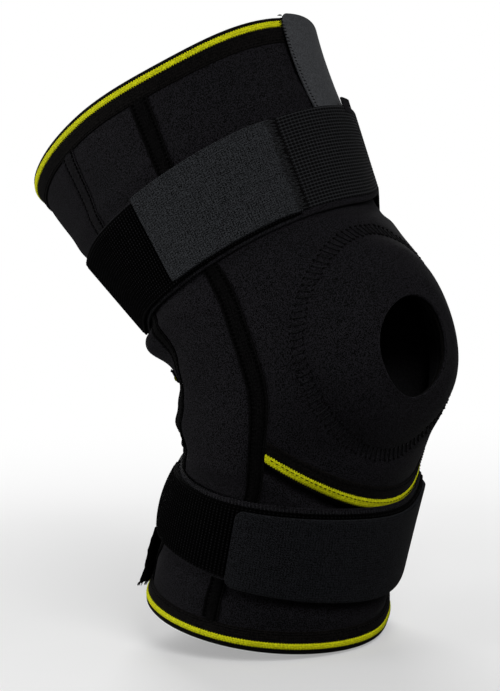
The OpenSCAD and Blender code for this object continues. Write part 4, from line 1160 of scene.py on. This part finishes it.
white = f.node("Emission", Color=WHITE, Strength=1.0)
shown = f.node("MixShader", i0=fade, i1=f.shader.outputs[0], i2=white)
dim = f.node("BsdfDiffuse", Color=FLOOR_BOUNCE)
mixed = f.node("MixShader", i0=f.node("LightPath", out="Is Camera Ray"), i1=dim, i2=shown)
f.tree.links.new(mixed, f.tree.nodes["Material Output"].inputs["Surface"])
mesh.materials.append(f.material)
linked("floor", mesh)

world = bpy.data.worlds.new("surround")
bpy.context.scene.world = world
world.use_nodes = True
tree = world.node_tree
tree.nodes.clear()
seen = add_node(tree, "LightPath").outputs["Is Camera Ray"]
lit, shown = (add_node(tree, "Background", Color=WHITE, Strength=x).outputs[0] for x in (WORLD_LIGHT, 1.0))
mixed = add_node(tree, "MixShader", i0=seen, i1=lit, i2=shown).outputs[0]
add_node(tree, "OutputWorld", Surface=mixed)

# Camera: its place round the knee, and where the knee axis sits in a picture of 500 by 691
AZIMUTH, ELEVATION, ROLL, DISTANCE = -50.5 * DEG, 8 * DEG, -1.5 * DEG, 1.2
FOCAL_PIXELS, PICTURE_HEIGHT = 2400, 691
KNEE_RIGHT, KNEE_BELOW = 58.5, 37.3
SENSOR = 36
back = Vector((
    math.sin(AZIMUTH) * math.cos(ELEVATION), -math.cos(AZIMUTH) * math.cos(ELEVATION), math.sin(ELEVATION)
))
camera = linked("camera", bpy.data.cameras.new("camera"))
camera.data.sensor_width = camera.data.sensor_height = SENSOR
camera.data.sensor_fit = "AUTO"
camera.data.lens = FOCAL_PIXELS / PICTURE_HEIGHT * SENSOR
camera.location = back * DISTANCE
facing = back.to_track_quat("Z", "Y")
yaw = Quaternion((0, 1, 0), math.atan(KNEE_RIGHT / FOCAL_PIXELS))
pitch = Quaternion((1, 0, 0), math.atan(KNEE_BELOW / FOCAL_PIXELS))
roll = Quaternion((0, 0, 1), ROLL)
camera.rotation_mode = "QUATERNION"
camera.rotation_quaternion = facing @ roll @ yaw @ pitch
bpy.context.scene.camera = camera


def lamp(name, power, size, right, up, near):
    """Soft lamp, placed in metres to the camera's right, up and towards the camera."""
    light = linked(name, bpy.data.lights.new(name, "AREA"))
    light.data.energy, light.data.size = power, size
    across = Vector((math.cos(AZIMUTH), math.sin(AZIMUTH), 0))
    ahead = Vector((back.x, back.y, 0)).normalized()
    light.location = across * right + ahead * near + Vector((0, 0, up))
    light.rotation_mode = "QUATERNION"
    light.rotation_quaternion = light.location.to_track_quat("Z", "Y")


lamp("key", 26, 0.9, -1.5, -0.1, 0.15)
lamp("top", 23, 1.0, 0.6, 1.2, 1.5)
lamp("fill", 1.5, 1.0, 1.3, 0.9, 0.5)
lamp("back", 22, 1.0, -0.2, 0.9, -1.6)
bpy.context.scene.view_settings.view_transform = "Standard"
